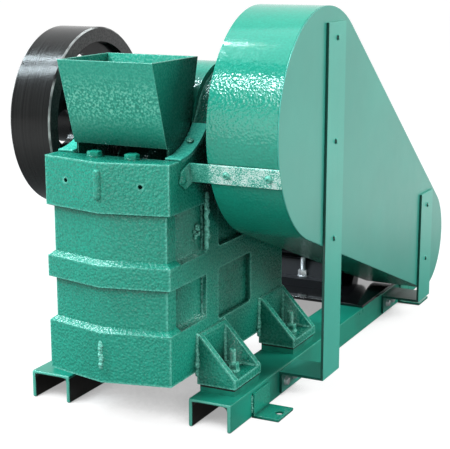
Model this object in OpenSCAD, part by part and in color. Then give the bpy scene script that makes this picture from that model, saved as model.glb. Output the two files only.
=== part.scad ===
// Small laboratory jaw crusher on a channel base, with flywheel, belt drive and guard.
// Millimetres, +Z up, +Y to the rear. The origin lies on the floor at the centre of the four lug holes.

/* [Base] */
// Length of the two base channels
channel_len = 806; // [760:1:900]
// Width over the outer faces of the two channels
base_w = 315; // [300:1:340]
// Width of a channel's web
channel_w = 63; // [55:1:70]
// Height of a channel
channel_h = 40; // [35:1:50]
// Thickness of a channel's web
web_t = 4.8; // [4:0.1:7]
// Thickness of a channel's flanges
flange_t = 6; // [4:0.1:8]
// Radius of the hollow corners between a channel's web and flanges
root_r = 7; // [4:0.5:9]

/* [Floor lugs] */
// Leg length of the lug angles
lug_leg = 40; // [36:1:50]
// Thickness of the lug angles
lug_t = 4; // [3:0.5:6]
// Width of a lug along the channel
lug_w = 51; // [40:1:60]
// Height of the lug's upright leg
lug_rise = 35; // [30:1:38]
// Diameter of the holes for the foundation bolts
lug_hole_d = 12; // [10:0.5:16]
// Distance of the hole from the channel's outer face
lug_hole_out = 30; // [26:0.5:31]
// Distance of a lug's middle from the end of its channel
lug_inset = 91; // [70:1:110]

/* [Crusher frame] */
// Width over the side walls
frame_w = 186; // [180:1:188]
// Thickness of the side walls
wall_t = 23; // [18:0.5:26]
// How far the front corners stand ahead of the channels
frame_lead = 43; // [30:1:60]
// How far the ridge of the front stands ahead of the corners
prow = 22; // [15:1:30]
// Length of the frame from front corners to rear edge
frame_len = 352; // [345:1:365]
// Thickness of the front wall at the corners
front_wall_t = 29; // [26:0.5:34]
// Gap between the channels' top and the frame's bottom edge
frame_clear = 28; // [22:1:34]
// Height of the frame up to its flat top
frame_h = 293; // [285:1:300]
// Depth of the recesses between the bands
recess = 8; // [4:0.5:10]
// Height of the bottom band
low_band_h = 74; // [60:1:80]
// Height of the middle band above the frame's bottom
mid_band_at = 129; // [120:1:135]
// Height of the middle band
mid_band_h = 35; // [24:1:38]
// Height of the top band
top_band_h = 66; // [55:1:70]
// Rise of the sloped ledge on a band's upper edge
ledge = 6; // [3:0.5:9]
// Length of the recesses on the side walls, from the front corners
side_recess_len = 100; // [90:1:110]
// Start of the rear pockets behind the front corners
pocket_at = 136; // [130:1:145]
// Height of the lower rear pocket's floor above the frame's bottom
low_pocket_up = 56; // [50:1:62]
// Length of the lower rear pocket
low_pocket_len = 105; // [95:1:120]
// Height of the upper rear pocket's floor above the frame's bottom
high_pocket_up = 160; // [156:1:168]
// Length of the upper rear pocket
high_pocket_len = 150; // [120:1:170]
// Corner radius of the pockets
pocket_r = 7; // [4:0.5:10]

/* [Shaft and bearings] */
// Distance of the shaft behind the frame's front corners
shaft_back = 193; // [190:1:196]
// Height of the shaft above the flat top
shaft_rise = 25; // [20:1:30]
// Diameter of the shaft in its bearings
shaft_d = 50; // [46:1:54]
// Diameter of the shaft's ends in the two wheels
shaft_end_d = 42; // [36:1:44]
// Radius of the bearing bosses on the side walls
boss_r = 80; // [76:1:82]
// Radius of the hollow that joins flat top and boss
fillet_r = 100; // [95:1:104]
// Radius of a bearing housing's spigot in the wall
spigot_r = 45; // [42:0.5:50]
// Radius of a bearing housing's flange
housing_r = 62; // [58:1:66]
// Thickness of a bearing housing's flange
housing_t = 14; // [10:0.5:16]
// Running clearance of the shaft in its bearings
shaft_play = 0.05; // [0.02:0.01:0.1]

/* [Jaws] */
// Thickness of the two jaw plates
jaw_t = 18; // [15:0.5:20]
// Feed opening between the jaw plates at the top
gape = 60; // [55:1:65]
// Discharge gap between the jaw plates at the bottom
discharge = 12; // [8:1:20]
// Height of the jaw plates' lower end above the frame's bottom
jaw_low = 36; // [30:1:45]
// Height of the jaw plates
jaw_h = 235; // [225:1:242]
// Number of ribs on a jaw plate
jaw_ribs = 9; // [7:1:11]
// Height of the ribs on a jaw plate
jaw_rib_h = 6; // [4:0.5:8]
// Thickness of the cheek plates
cheek_t = 7.5; // [6:0.5:10]
// Radius of the swing jaw's head around the shaft
head_r = 60; // [55:1:64]
// Thickness of the toggle plate
toggle_t = 16; // [12:1:20]
// Diameter of the tension rod
rod_d = 12; // [10:0.5:14]

/* [Hopper and covers] */
// Height of the hopper
hopper_h = 112; // [102:1:122]
// Gap between the flat top and the hopper's sloped sheets
hopper_gap = 13; // [8:1:16]
// Length of the hopper's upper opening, over the sheets
hopper_top_len = 123; // [115:1:126]
// Distance of the hopper's lower front edge behind the front corners
hopper_low_at = 36; // [32:1:40]
// Length of the hopper's lower opening, over the sheets
hopper_low_len = 57; // [50:1:58]
// Thickness of the hopper's sheet
hopper_t = 3; // [2:0.5:4]
// Thickness of the cover sheets
cover_t = 3; // [2:0.5:4]
// Outer radius of the round cover over the swing jaw's head
cover_r = 88; // [86:0.5:92]

/* [Flywheel and sheave] */
// Radius of the flywheel
wheel_r = 129.6; // [120:0.1:135]
// Inner radius of the flywheel's rim
wheel_rim_r = 108.7; // [102:0.1:112]
// Width of the flywheel's rim
wheel_w = 66; // [58:1:70]
// Gap between the side wall and the wheels' rims
wheel_gap = 35.5; // [34:0.5:40]
// Thickness of the wheels' webs
wheel_web_t = 10; // [8:1:14]
// Distance of the flywheel's web from the inner face of its rim
wheel_web_at = 15; // [12:0.5:33]
// Radius of the wheels' hubs
hub_r = 40; // [34:1:44]
// Diameter of the holes in the wheels' webs
web_hole_d = 50; // [36:1:52]
// Radius of the sheave over its rim
sheave_r = 122; // [115:0.5:128]
// Width of the sheave's rim
sheave_w = 50; // [46:1:56]
// Radius of the motor's pulley
pulley_r = 48; // [42:0.5:54]
// Top width of a belt
belt_w = 16; // [14:0.5:17]
// Height of a belt
belt_h = 10; // [8:0.5:11]
// Distance between the middles of the two belts
belt_pitch = 20; // [19.5:0.5:22]
// Clearance of the belts in their grooves
belt_play = 0.6; // [0.4:0.1:1]

/* [Belt guard] */
// Gap between the side wall and the guard's open back
guard_gap = 27; // [24:1:30]
// Depth of the guard
guard_depth = 100; // [96:1:110]
// Thickness of the guard's sheet
guard_t = 2; // [1.5:0.5:3]
// Radius of the guard's large end
guard_r = 157.6; // [152:0.1:162]
// How far the large end's centre lies behind the shaft
guard_back = 13; // [5:1:16]
// How far the large end's centre lies above the shaft
guard_up = 8; // [2:1:12]
// Radius of the guard's small end
guard_low_r = 84.5; // [80:0.5:88]
// Width of the two straps on the guard
strap_w = 63; // [50:1:70]
// Thickness of the straps
strap_t = 4; // [2.5:0.5:5]
// Distance of the front strap behind the channels' front ends
front_strap_at = 158; // [150:1:170]
// Distance of the rear strap's front edge ahead of the channels' rear ends
rear_strap_at = 210; // [196:1:224]
// Diameter of the screw heads on the straps
strap_head_d = 9; // [7:0.5:12]
// Height of the straps' feet above the floor
strap_foot = 33; // [30:1:36]
// Height of the bar that ties the guard to the frame
bar_h = 27; // [22:1:32]
// Tilt of that bar, where it lies on the rim
bar_tilt = 18.5; // [15:0.5:22]

/* [Gussets] */
// Width of a gusset along the frame
gusset_w = 82; // [70:1:90]
// Height of a gusset
gusset_h = 70; // [64:1:80]
// Thickness of a gusset's plates
gusset_t = 10; // [7:0.5:13]
// Thickness of a gusset's foot
gusset_foot = 12; // [10:0.5:18]
// Distance of a gusset's toe from the channel's outer face
gusset_inset = 7.5; // [4:0.5:14]
// Distance of the front gussets behind the front corners
front_gusset_at = 72; // [65:1:80]
// How much farther back the front left gusset sits than the right one
left_gusset_back = 10; // [0:1:20]
// Diameter of the bolt hole in a gusset's foot
gusset_hole_d = 14; // [11:0.5:18]
// Thickness of the pads under the gussets
pad_t = 10; // [5:0.5:12]

/* [Motor] */
// Distance of the motor's shaft ahead of the channels' rear ends
motor_back = 156; // [146:1:166]
// Height of the motor's shaft above its feet
motor_axis_h = 90; // [88:1:95]
// Thickness of the motor's plate
motor_plate_t = 5; // [4:0.5:6]
// How far the motor's plate reaches ahead of the motor's shaft
motor_plate_lead = 150; // [130:1:165]
// Length of the motor's plate along the channels
motor_plate_len = 250; // [220:1:270]
// Radius of the motor's ribbed body over its ribs
motor_r = 78; // [74:1:80]
// Height of the motor's cooling ribs
motor_rib_h = 8; // [5:0.5:10]
// Length of the motor's ribbed body
motor_len = 165; // [150:1:175]
// Length of the motor's fan cowl
cowl_len = 68; // [55:1:75]
// Diameter of the motor's shaft
motor_shaft_d = 24; // [20:1:28]

/* [Hidden] */
$fn = 96;

paint = "#2f8f75";
dark_paint = "#1f5c4b";
black_paint = "#17191a";
bare_steel = "#8d9296";
bright_zinc = "#c9cdd0";
rubber = "#222222";

// Cutting shapes run this far past the faces that they open
over = 2;
// Gap between round faces that lie on each other
seat = 0.1;
// How far a straight run starts below the arcs that it joins
tuck = 0.03;
// How far a belt's straight runs reach into its arcs
belt_lap = 1.5;

// Places that several pieces share
base_x = base_w / 2;
base_front = -channel_len / 2;
corner_y = base_front - frame_lead;
wall_x = frame_w / 2;
inner_x = wall_x - wall_t;
inner_y = corner_y + front_wall_t;
rear_y = corner_y + frame_len;
frame_low = channel_h + frame_clear;
frame_top = frame_low + frame_h;
shaft_y = corner_y + shaft_back;
shaft_z = frame_top + shaft_rise;
low_band_top = frame_low + low_band_h;
mid_band_low = frame_low + mid_band_at;
mid_band_top = mid_band_low + mid_band_h;
top_band_low = frame_top - top_band_h;
ridge_y = corner_y - prow;
facet_angle = atan2(prow, wall_x);
facet_len = norm([prow, wall_x]);

// Hollow fillet between the flat top and a bearing boss
fillet_z = frame_top + fillet_r;
fillet_run = sqrt(pow(boss_r + fillet_r, 2) - pow(fillet_z - shaft_z, 2));
fillet_end = atan2(shaft_z - fillet_z, fillet_run);

// Cast details of the front
face_hole_d = 6;
face_hole_out = 0.6;
face_hole_down = 0.45;
face_hole_x = wall_x * face_hole_out;
face_hole_z = frame_top - top_band_h * face_hole_down;
rib_r = 5.5;
rib_sink = 1.5;
rib_share = 0.46;
rib_down = 0.21;
rib_len = top_band_h * rib_share;
rib_top = frame_top - top_band_h * rib_down;

// Jaws and crushing chamber
jaw_z = frame_low + jaw_low;
jaw_top = jaw_z + jaw_h;
chamber_x = inner_x - cheek_t;
jaw_side_gap = 1;
jaw_half_w = chamber_x - jaw_side_gap;
rib_pitch = 2 * jaw_half_w / jaw_ribs;
fixed_face_y = inner_y + jaw_t;
swing_low_y = fixed_face_y + discharge;
swing_top_y = fixed_face_y + gape;
swing_lean = atan2(swing_top_y - swing_low_y, jaw_h);
swing_len = jaw_h / cos(swing_lean);
back_low = [swing_low_y + jaw_t * cos(swing_lean), jaw_z - jaw_t * sin(swing_lean)];
back_top = back_low + swing_len * [sin(swing_lean), cos(swing_lean)];
swing_gap = 8;
swing_half_w = inner_x - swing_gap;
heel_out = 62;
heel_y = back_low[0] + heel_out;
toggle_r = toggle_t / 2;
toggle_up = 28;
toggle_seat_z = jaw_z + toggle_up;
rod_drop = 2;
rod_z = jaw_z - rod_drop;
rear_wall_t = 48;
rear_wall_up = 12;
rear_wall_low = frame_low + rear_wall_up;
rear_wall_h = 190;
rear_wall_y = rear_y - rear_wall_t;
rear_seat_proud = 14;
rear_seat_y = rear_wall_y - rear_seat_proud;
toggle_climb = 26;
rear_seat_z = toggle_seat_z + toggle_climb;
seat_block = 34;
toggle_margin = 12;
toggle_half_w = swing_half_w - toggle_margin;

// Angles below the shaft at which the swing jaw's back and front leave its head
head_back = 20;
head_front = 30;
// Hollows in the swing jaw's back, as shares of the back's length
hollow_start = 0.1;
hollow_end = 0.78;
hollow_slope = 0.07;
hollow_depth = 20;
hollow_wall = 12;
hollow_w = swing_half_w - 3 * hollow_wall / 2;

// Tension rod and spring
rod_hole_gap = 1;
rod_tail = 78;
rod_end = 24;
spring_gap = 2;
spring_wire_r = 3;
spring_turns = 6;
spring_steps = 20;
spring_sides = 8;
spring_r = rod_d / 2 + spring_gap + spring_wire_r;
spring_len = rod_tail - rod_end;
// Height of the wire's middle at the ground ends, and lead of the closed end turns
grind_share = 0.6;
close_share = 2.1;
spring_grind = spring_wire_r * grind_share;
spring_close = spring_wire_r * close_share;
spring_pitch = (spring_len - 2 * spring_grind - 2 * spring_close) / (spring_turns - 2);
washer_t = 4;
washer_lip = 3;
washer_r = spring_r + spring_wire_r + washer_lip;
nut_t = 10;
nut_r = rod_d;
nut_sides = 6;

// Hopper
hopper_low_z = max(frame_top, jaw_top) + hopper_gap;
hopper_top_z = hopper_low_z + hopper_h;
hopper_front_low = corner_y + hopper_low_at;
hopper_rear_low = hopper_front_low + hopper_low_len;
hopper_front_top = corner_y;
hopper_rear_top = hopper_front_top + hopper_top_len;
hopper_tab_inset = 5;
hopper_tab_drop = 16;

// Cheek plates end flush with the jaw plates, below the hopper's tabs
cheek_gap = 6;
hopper_tab_z = max(frame_top - hopper_tab_drop, jaw_top + cheek_gap);

// Covers
strip_short = 14;
strip_end = fillet_end - strip_short;
cover_rim_w = 14;
cover_start = -4;
cover_sweep = 176;

// Wheels
wheel_x = wall_x + wheel_gap;
wheel_mid = wheel_x + wheel_w / 2;
hub_gap = 6;
hub_inner = wall_x + housing_t + hub_gap;
hub_sink = 4;
hub_outer = wheel_x + wheel_w - hub_sink;
rim_chamfer = 2;
web_hole_r = (hub_r + wheel_rim_r) / 2;
web_holes = 5;
web_turn = 41;
shaft_proud = 6;
shaft_tip = hub_outer + shaft_proud;
shaft_shoulder = 2;
rotor_gap = 0.03;
groove_side = 19;
groove_spare = 3;
groove_depth = belt_h + groove_spare;
belt_sink = 1;
belt_x = [wheel_mid - belt_pitch / 2, wheel_mid + belt_pitch / 2];
sheave_rim_t = 9;
sheave_rim_r = sheave_r - groove_depth - sheave_rim_t;
belt_r = sheave_r - belt_sink;
belt_low_r = pulley_r - belt_sink;

// Bearing housings: a cap stands proud of the bolted flange
flange_share = 0.6;
housing_flange_t = housing_t * flange_share;
cap_inset = 3;
housing_cap_r = spigot_r - cap_inset;

// Motor and pulley
motor_y = channel_len / 2 - motor_back;
motor_foot_z = channel_h + motor_plate_t;
motor_z = motor_foot_z + motor_axis_h;
motor_plate_y = motor_y - motor_plate_lead;
shield_len = 36;
shield_boss_r = 34;
// Shield and cowl: where their round edges start, in shares of their length and radius
shield_edge = 1 / 3;
shield_cone = 0.7;
shield_flat = 0.8;
cowl_edge = 1 / 5;
end_share = 0.8;
motor_end_r = motor_r * end_share;
motor_gap = 4;
motor_face = wall_x + guard_gap - motor_gap;
motor_x1 = motor_face - shield_len;
motor_x0 = motor_x1 - motor_len;
motor_core_r = motor_r - motor_rib_h;
motor_ribs = 40;
motor_rib_t = 3;
foot_pitch = 140;
foot_w = 38;
foot_t = 14;
foot_half_len = 72;
// Where a foot meets the body, from the axis, in shares of the body's radius
foot_shoulder = [0.8, -0.55];
foot_root = [0.4, -0.85];
cowl_slots = 16;
slot_w = 5;
slot_depth = 8;
slot_low_r = 18;
slot_high_r = 52;
motor_mid = (motor_x0 + motor_x1) / 2;
box_w = 88;
box_h = 44;
lid_t = 10;
lid_lap = 2;

// Guard
guard_x0 = wall_x + guard_gap;
guard_x1 = guard_x0 + guard_depth;
guard_c = [shaft_y + guard_back, shaft_z + guard_up];
guard_drop = 2;
guard_low_c = [motor_y, motor_z - guard_drop];
front_strap_y = base_front + front_strap_at;
rear_strap_y = channel_len / 2 - rear_strap_at;
front_strap_drop = 22;
rear_strap_up = 4;
front_strap_top = guard_c[1] + guard_r - front_strap_drop;
rear_strap_top = guard_low_c[1] + guard_low_r + rear_strap_up;
strap_flange = 28;
// Distances of the straps' screw heads below the straps' upper ends
front_heads = [21, 161, 297];
rear_heads = [22, 116];
strap_head_h = 3;
strap_head_slope = 1.5;
bar_t = 3;
tab_len = 34;
tab_tip = 10;

// Gussets
gusset_low = channel_h + pad_t;
gusset_toe = base_x - gusset_inset;
front_gusset_y = corner_y + front_gusset_at;
rear_gusset_y = rear_y - gusset_w;
left_gusset_y = front_gusset_y + left_gusset_back;
gusset_tip = 3;
gusset_back_t = 6;
gusset_bolt_x = base_x - channel_w / 2;
pad_margin = 2;

// Direction in the side view, from +Y towards +Z
function dir(a) = [cos(a), sin(a)];
// Half the angle between the outer tangents' contact points of two circles
function contact(d, ra, rb) = acos((ra - rb) / d);
// Horizontal width of a sheet of thickness t that leans by run over rise
function sloped_t(t, run, rise) = t * norm([run, rise]) / rise;

// Runs a side-view outline (y, z) along X
module along_x(x, length) {
    translate([x, 0, 0]) rotate([90, 0, 90]) linear_extrude(length) children();
}

// Runs a front-view outline (x, z) along Y
module along_y(y, length) {
    translate([0, y + length, 0]) rotate([90, 0, 0]) linear_extrude(length) children();
}

// Turns a profile (radius, x) about an axis along X at (y, z)
module spun(y, z) {
    translate([0, y, z]) rotate([90, 0, 90]) rotate_extrude() children();
}

// Round bar along X at (y, z)
module rod_x(x, length, y, z, r) {
    along_x(x, length) translate([y, z]) circle(r);
}

module rectangle(x0, y0, x1, y1) {
    translate([x0, y0]) square([x1 - x0, y1 - y0]);
}

module round_rectangle(x0, y0, x1, y1, r) {
    rectangle(x0 + r, y0, x1 - r, y1);
    rectangle(x0, y0 + r, x1, y1 - r);
    for (x = [x0 + r, x1 - r], y = [y0 + r, y1 - r]) translate([x, y]) circle(r);
}

// Solid along X round two circles (y, z) and their outer tangents
module loop_solid(x, length, a, ra, b, rb) {
    phi = atan2(b[1] - a[1], b[0] - a[0]);
    theta = contact(norm(b - a), ra, rb);
    rod_x(x, length, a[0], a[1], ra, $fn = 180);
    rod_x(x, length, b[0], b[1], rb, $fn = 120);
    along_x(x, length) polygon([
        a + (ra - tuck) * dir(phi + theta), b + (rb - tuck) * dir(phi + theta),
        b + (rb - tuck) * dir(phi - theta), a + (ra - tuck) * dir(phi - theta)
    ]);
}

// Base channels and floor lugs

module base_channel() {
    color(paint) difference() {
        along_y(base_front, channel_len) rectangle(base_x - channel_w, 0, base_x, channel_h);
        along_y(base_front - over, channel_len + 2 * over) round_rectangle(
            base_x - channel_w + flange_t, -2 * root_r, base_x - flange_t, channel_h - web_t, root_r);
    }
}

module floor_lug(end) {
    color(paint) difference() {
        along_y(end * (channel_len / 2 - lug_inset) - lug_w / 2, lug_w) {
            rectangle(base_x, 0, base_x + lug_t, lug_rise);
            rectangle(base_x, 0, base_x + lug_leg, lug_t);
        }
        translate([base_x + lug_hole_out, end * (channel_len / 2 - lug_inset), -over])
            cylinder(d = lug_hole_d, h = lug_t + 2 * over);
    }
}

// Crusher frame

// Section of the recess between two bands: depth below the band's face, height
module recess_section(low, high) {
    polygon([
        [-over, low], [0, low], [recess, low + ledge],
        [recess, high - ledge / 2], [0, high], [-over, high]
    ]);
}

module recess_sections() {
    recess_section(low_band_top - ledge, mid_band_low);
    recess_section(mid_band_top - ledge, top_band_low);
}

// Recesses along the side wall, from the front back to y
module side_recesses(y) {
    along_y(ridge_y - over, y - ridge_y + over)
        translate([wall_x, 0]) mirror([1, 0]) recess_sections();
}

module front_wall_half() {
    difference() {
        translate([0, 0, frame_low]) linear_extrude(frame_h)
            polygon([[0, ridge_y], [wall_x, corner_y], [wall_x, inner_y], [0, inner_y]]);
        translate([0, ridge_y, 0]) rotate([0, 0, facet_angle])
            along_x(0, facet_len + over) recess_sections();
        side_recesses(inner_y + over);
        translate([face_hole_x, ridge_y, face_hole_z]) rotate([-90, 0, 0])
            cylinder(d = face_hole_d, h = prow + front_wall_t / 2);
    }
}

module front_wall() {
    color(paint) {
        front_wall_half();
        mirror([1, 0, 0]) front_wall_half();
        translate([0, ridge_y + rib_sink, rib_top - rib_len]) {
            cylinder(r = rib_r, h = rib_len);
            sphere(rib_r);
            translate([0, 0, rib_len]) sphere(rib_r);
        }
    }
}

// Hollow corner between the flat top and the boss, ahead of the shaft
module boss_fillet() {
    difference() {
        polygon([
            [-fillet_run, frame_top - over], [0, frame_top - over], [0, shaft_z],
            [-fillet_run, fillet_z] + fillet_r * dir(fillet_end)
        ]);
        translate([-fillet_run, fillet_z]) circle(fillet_r, $fn = 180);
    }
}

module side_wall_outline() {
    rectangle(inner_y, frame_low, rear_y, frame_top);
    translate([shaft_y, shaft_z]) circle(boss_r, $fn = 180);
    intersection() {
        rectangle(inner_y, frame_low, rear_y, fillet_z);
        translate([shaft_y, 0]) {
            boss_fillet();
            mirror([1, 0]) boss_fillet();
        }
    }
}

module side_wall() {
    pocket_y = corner_y + pocket_at;
    color(paint) difference() {
        along_x(inner_x, wall_t) side_wall_outline();
        side_recesses(corner_y + side_recess_len);
        along_x(wall_x - recess, recess + over) {
            round_rectangle(pocket_y, frame_low + low_pocket_up,
                pocket_y + low_pocket_len, mid_band_low, pocket_r);
            round_rectangle(pocket_y, frame_low + high_pocket_up,
                pocket_y + high_pocket_len, top_band_low + ledge, pocket_r);
        }
        rod_x(inner_x - over, wall_t + 2 * over, shaft_y, shaft_z, spigot_r);
    }
}

// Rear cross wall with the seat for the toggle plate and the hole for the tension rod
module rear_wall() {
    color(paint) difference() {
        along_x(-inner_x, 2 * inner_x) difference() {
            union() {
                rectangle(rear_wall_y, rear_wall_low, rear_y, rear_wall_low + rear_wall_h);
                rectangle(rear_seat_y, rear_seat_z - seat_block / 2,
                    rear_wall_y + over, rear_seat_z + seat_block / 2);
            }
            translate([rear_seat_y, rear_seat_z]) circle(toggle_r + seat);
        }
        translate([0, rear_wall_y - over, rod_z]) rotate([-90, 0, 0])
            cylinder(d = rod_d + 2 * rod_hole_gap, h = rear_wall_t + 2 * over);
    }
}

// Gussets between side walls and channels

// Box of a foot, a back and two sloped webs
module gusset(y) {
    foot_top = gusset_low + gusset_foot;
    top = gusset_low + gusset_h;
    color(paint) difference() {
        along_y(y, gusset_w) polygon([
            [wall_x, gusset_low], [gusset_toe, gusset_low], [gusset_toe, foot_top],
            [wall_x + gusset_tip, top], [wall_x, top]
        ]);
        along_y(y + gusset_t, gusset_w - 2 * gusset_t)
            rectangle(wall_x + gusset_back_t, foot_top, gusset_toe + over, top + over);
        translate([gusset_bolt_x, y + gusset_w / 2, gusset_low - over])
            cylinder(d = gusset_hole_d, h = gusset_foot + 2 * over);
    }
}

module pad(y) {
    translate([0, 0, channel_h]) difference() {
        linear_extrude(pad_t) rectangle(base_x - channel_w + pad_margin, y + pad_margin,
            gusset_toe - pad_margin, y + gusset_w - pad_margin);
        translate([gusset_bolt_x, y + gusset_w / 2, -over])
            cylinder(d = gusset_hole_d, h = pad_t + 2 * over);
    }
}

module gusset_pads() {
    color(black_paint) {
        for (y = [front_gusset_y, rear_gusset_y]) pad(y);
        mirror([1, 0, 0]) for (y = [left_gusset_y, rear_gusset_y]) pad(y);
    }
}

// Jaws

// Section of a jaw plate: a plate with pointed ribs towards +Y, seen from above
module jaw_section() {
    polygon(concat(
        [[jaw_half_w, 0], [-jaw_half_w, 0]],
        [for (i = [0 : jaw_ribs - 1], tip = [0, 1])
            [-jaw_half_w + (i + tip / 2) * rib_pitch, jaw_t - jaw_rib_h * (1 - tip)]],
        [[jaw_half_w, jaw_t - jaw_rib_h]]
    ));
}

module fixed_jaw_plate() {
    color(bare_steel) translate([0, inner_y, jaw_z]) linear_extrude(jaw_h) jaw_section();
}

module swing_jaw_plate() {
    color(bare_steel) translate([0, back_low[0], back_low[1]]) rotate([-swing_lean, 0, 0])
        linear_extrude(swing_len) mirror([0, 1]) jaw_section();
}

module cheek_plate() {
    color(bare_steel) along_x(inner_x - cheek_t, cheek_t) polygon([
        [inner_y, jaw_z], [swing_low_y, jaw_z], [swing_top_y, jaw_top], [inner_y, jaw_top]
    ]);
}

module swing_jaw_outline() {
    shaft = [shaft_y, shaft_z];
    difference() {
        union() {
            translate(shaft) circle(head_r);
            polygon([
                back_low, [heel_y, jaw_z - jaw_t], [heel_y, toggle_seat_z + toggle_t],
                shaft + head_r * dir(-head_back), shaft, shaft - head_r * dir(head_front), back_top
            ]);
        }
        translate([heel_y, toggle_seat_z]) circle(toggle_r + seat);
        translate(shaft) circle(shaft_d / 2 + shaft_play);
    }
}

// Hollow in the swing jaw's back, between heel and head
module jaw_hollow() {
    low = [heel_y, toggle_seat_z + toggle_t];
    rise = [shaft_y, shaft_z] + head_r * dir(-head_back) - low;
    inward = [-rise[1], rise[0]] / norm(rise);
    polygon([
        low + hollow_start * rise - over * inward,
        low + hollow_end * rise - over * inward,
        low + (hollow_end - hollow_slope) * rise + hollow_depth * inward,
        low + (hollow_start + hollow_slope) * rise + hollow_depth * inward
    ]);
}

module swing_jaw() {
    color(dark_paint) difference() {
        along_x(-swing_half_w, 2 * swing_half_w) swing_jaw_outline();
        for (x = [hollow_wall - swing_half_w, hollow_wall / 2])
            along_x(x, hollow_w) jaw_hollow();
    }
}

module toggle_plate() {
    a = [heel_y, toggle_seat_z];
    b = [rear_seat_y, rear_seat_z];
    color(bare_steel) loop_solid(-toggle_half_w, 2 * toggle_half_w, a, toggle_r, b, toggle_r);
}

module tension_rod() {
    tail_y = rear_y + rod_tail;
    color(bare_steel) {
        translate([0, heel_y, rod_z]) rotate([-90, 0, 0]) cylinder(d = rod_d, h = tail_y - heel_y);
        translate([0, rear_y + spring_len, rod_z]) rotate([-90, 0, 0]) cylinder(r = washer_r, h = washer_t);
        translate([0, rear_y + spring_len + washer_t, rod_z]) rotate([-90, 0, 0])
            cylinder(r = nut_r, h = nut_t, $fn = nut_sides);
    }
}

// Height of the spring's wire after t turns: closed turns at both ends, open ones between
function spring_z(t) = spring_grind + spring_close * (min(t, 1) + max(t - spring_turns + 1, 0))
    + spring_pitch * max(min(t, spring_turns - 1) - 1, 0);

// Point of the wire's skin at step i of the coil and side j of the wire
function spring_point(i, j) =
    let (a = i * 360 / spring_steps, b = j * 360 / spring_sides, r = spring_r + spring_wire_r * cos(b))
    [r * cos(a), r * sin(a), spring_z(i / spring_steps) + spring_wire_r * sin(b)];

// Coil spring with ends ground flat
module return_spring() {
    rings = spring_turns * spring_steps;
    last = rings * spring_sides;
    points = [for (i = [0 : rings], j = [0 : spring_sides - 1]) spring_point(i, j)];
    skin = [for (i = [0 : rings - 1], j = [0 : spring_sides - 1], half = [0, 1])
        let (k = i * spring_sides, next = (j + 1) % spring_sides, over_k = k + spring_sides)
        half == 0 ? [k + j, k + next, over_k + j] : [k + next, over_k + next, over_k + j]];
    ends = [[for (j = [spring_sides - 1 : -1 : 0]) j], [for (j = [0 : spring_sides - 1]) last + j]];
    color(bright_zinc) translate([0, rear_y, rod_z]) rotate([-90, 0, 0]) intersection() {
        polyhedron(points, concat(skin, ends));
        cylinder(r = washer_r, h = spring_len);
    }
}

// Hopper and covers

module hopper() {
    run_front = hopper_front_low - hopper_front_top;
    run_rear = hopper_rear_top - hopper_rear_low;
    front_t = sloped_t(hopper_t, run_front, hopper_h);
    rear_t = sloped_t(hopper_t, run_rear, hopper_h);
    color(paint) {
        difference() {
            along_x(-inner_x, 2 * inner_x) polygon([
                [hopper_front_low, hopper_low_z], [hopper_rear_low, hopper_low_z],
                [hopper_rear_top, hopper_top_z], [hopper_front_top, hopper_top_z]
            ]);
            along_x(hopper_t - inner_x, 2 * (inner_x - hopper_t)) polygon([
                [hopper_front_low + front_t, hopper_low_z], [hopper_rear_low - rear_t, hopper_low_z],
                [hopper_rear_top - rear_t, hopper_top_z], [hopper_front_top + front_t, hopper_top_z]
            ]);
        }
        for (x = [-inner_x, inner_x - hopper_t]) along_x(x, hopper_t)
            rectangle(hopper_front_low + hopper_tab_inset, hopper_tab_z,
                hopper_rear_low - hopper_tab_inset, hopper_low_z + over);
    }
}

module cover_strip() {
    color(paint) along_x(inner_x, wall_t) translate([shaft_y - fillet_run, fillet_z]) intersection() {
        difference() {
            circle(fillet_r - seat, $fn = 180);
            circle(fillet_r - seat - cover_t, $fn = 180);
        }
        polygon([[inner_y - shaft_y + fillet_run + over, 0],
            [inner_y - shaft_y + fillet_run + over, -2 * fillet_r],
            [2 * fillet_r, -2 * fillet_r], 2 * fillet_r * dir(strip_end), [0, 0]]);
    }
}

// Half drum over the swing jaw's head, with a rim at each end that lies on the side walls
module pitman_cover() {
    drum_x = inner_x - seat;
    color(paint) translate([0, shaft_y, shaft_z]) rotate([90, 0, 90]) rotate([0, 0, cover_start])
        rotate_extrude(angle = cover_sweep) {
            rectangle(cover_r - cover_t, -drum_x, cover_r, drum_x);
            rectangle(cover_r - cover_rim_w, -drum_x, cover_r, cover_t - drum_x);
            rectangle(cover_r - cover_rim_w, drum_x - cover_t, cover_r, drum_x);
        }
}

// Shaft, wheels and belts

module bearing_housing() {
    bore = shaft_d / 2 + shaft_play;
    color(paint) spun(shaft_y, shaft_z) {
        rectangle(bore, inner_x, spigot_r - seat, wall_x);
        rectangle(bore, wall_x, housing_r, wall_x + housing_flange_t);
        rectangle(bore, wall_x, housing_cap_r, wall_x + housing_t);
    }
}

module eccentric_shaft() {
    body = wall_x + housing_t + shaft_shoulder;
    color(bare_steel) {
        rod_x(-body, 2 * body, shaft_y, shaft_z, shaft_d / 2);
        rod_x(-shaft_tip, 2 * shaft_tip, shaft_y, shaft_z, shaft_end_d / 2);
    }
}

// Hub and web of a wheel: the web has its middle at x, its holes, and reaches out to r
module wheel_web(x, r) {
    difference() {
        spun(shaft_y, shaft_z) {
            rectangle(shaft_end_d / 2 + rotor_gap, hub_inner, hub_r, hub_outer);
            rectangle(hub_r - over, x - wheel_web_t / 2, r + over, x + wheel_web_t / 2);
        }
        for (i = [0 : web_holes - 1]) {
            at = [shaft_y, shaft_z] + web_hole_r * dir(web_turn + i * 360 / web_holes);
            rod_x(x - wheel_web_t / 2 - over, wheel_web_t + 2 * over, at[0], at[1], web_hole_d / 2);
        }
    }
}

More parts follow.
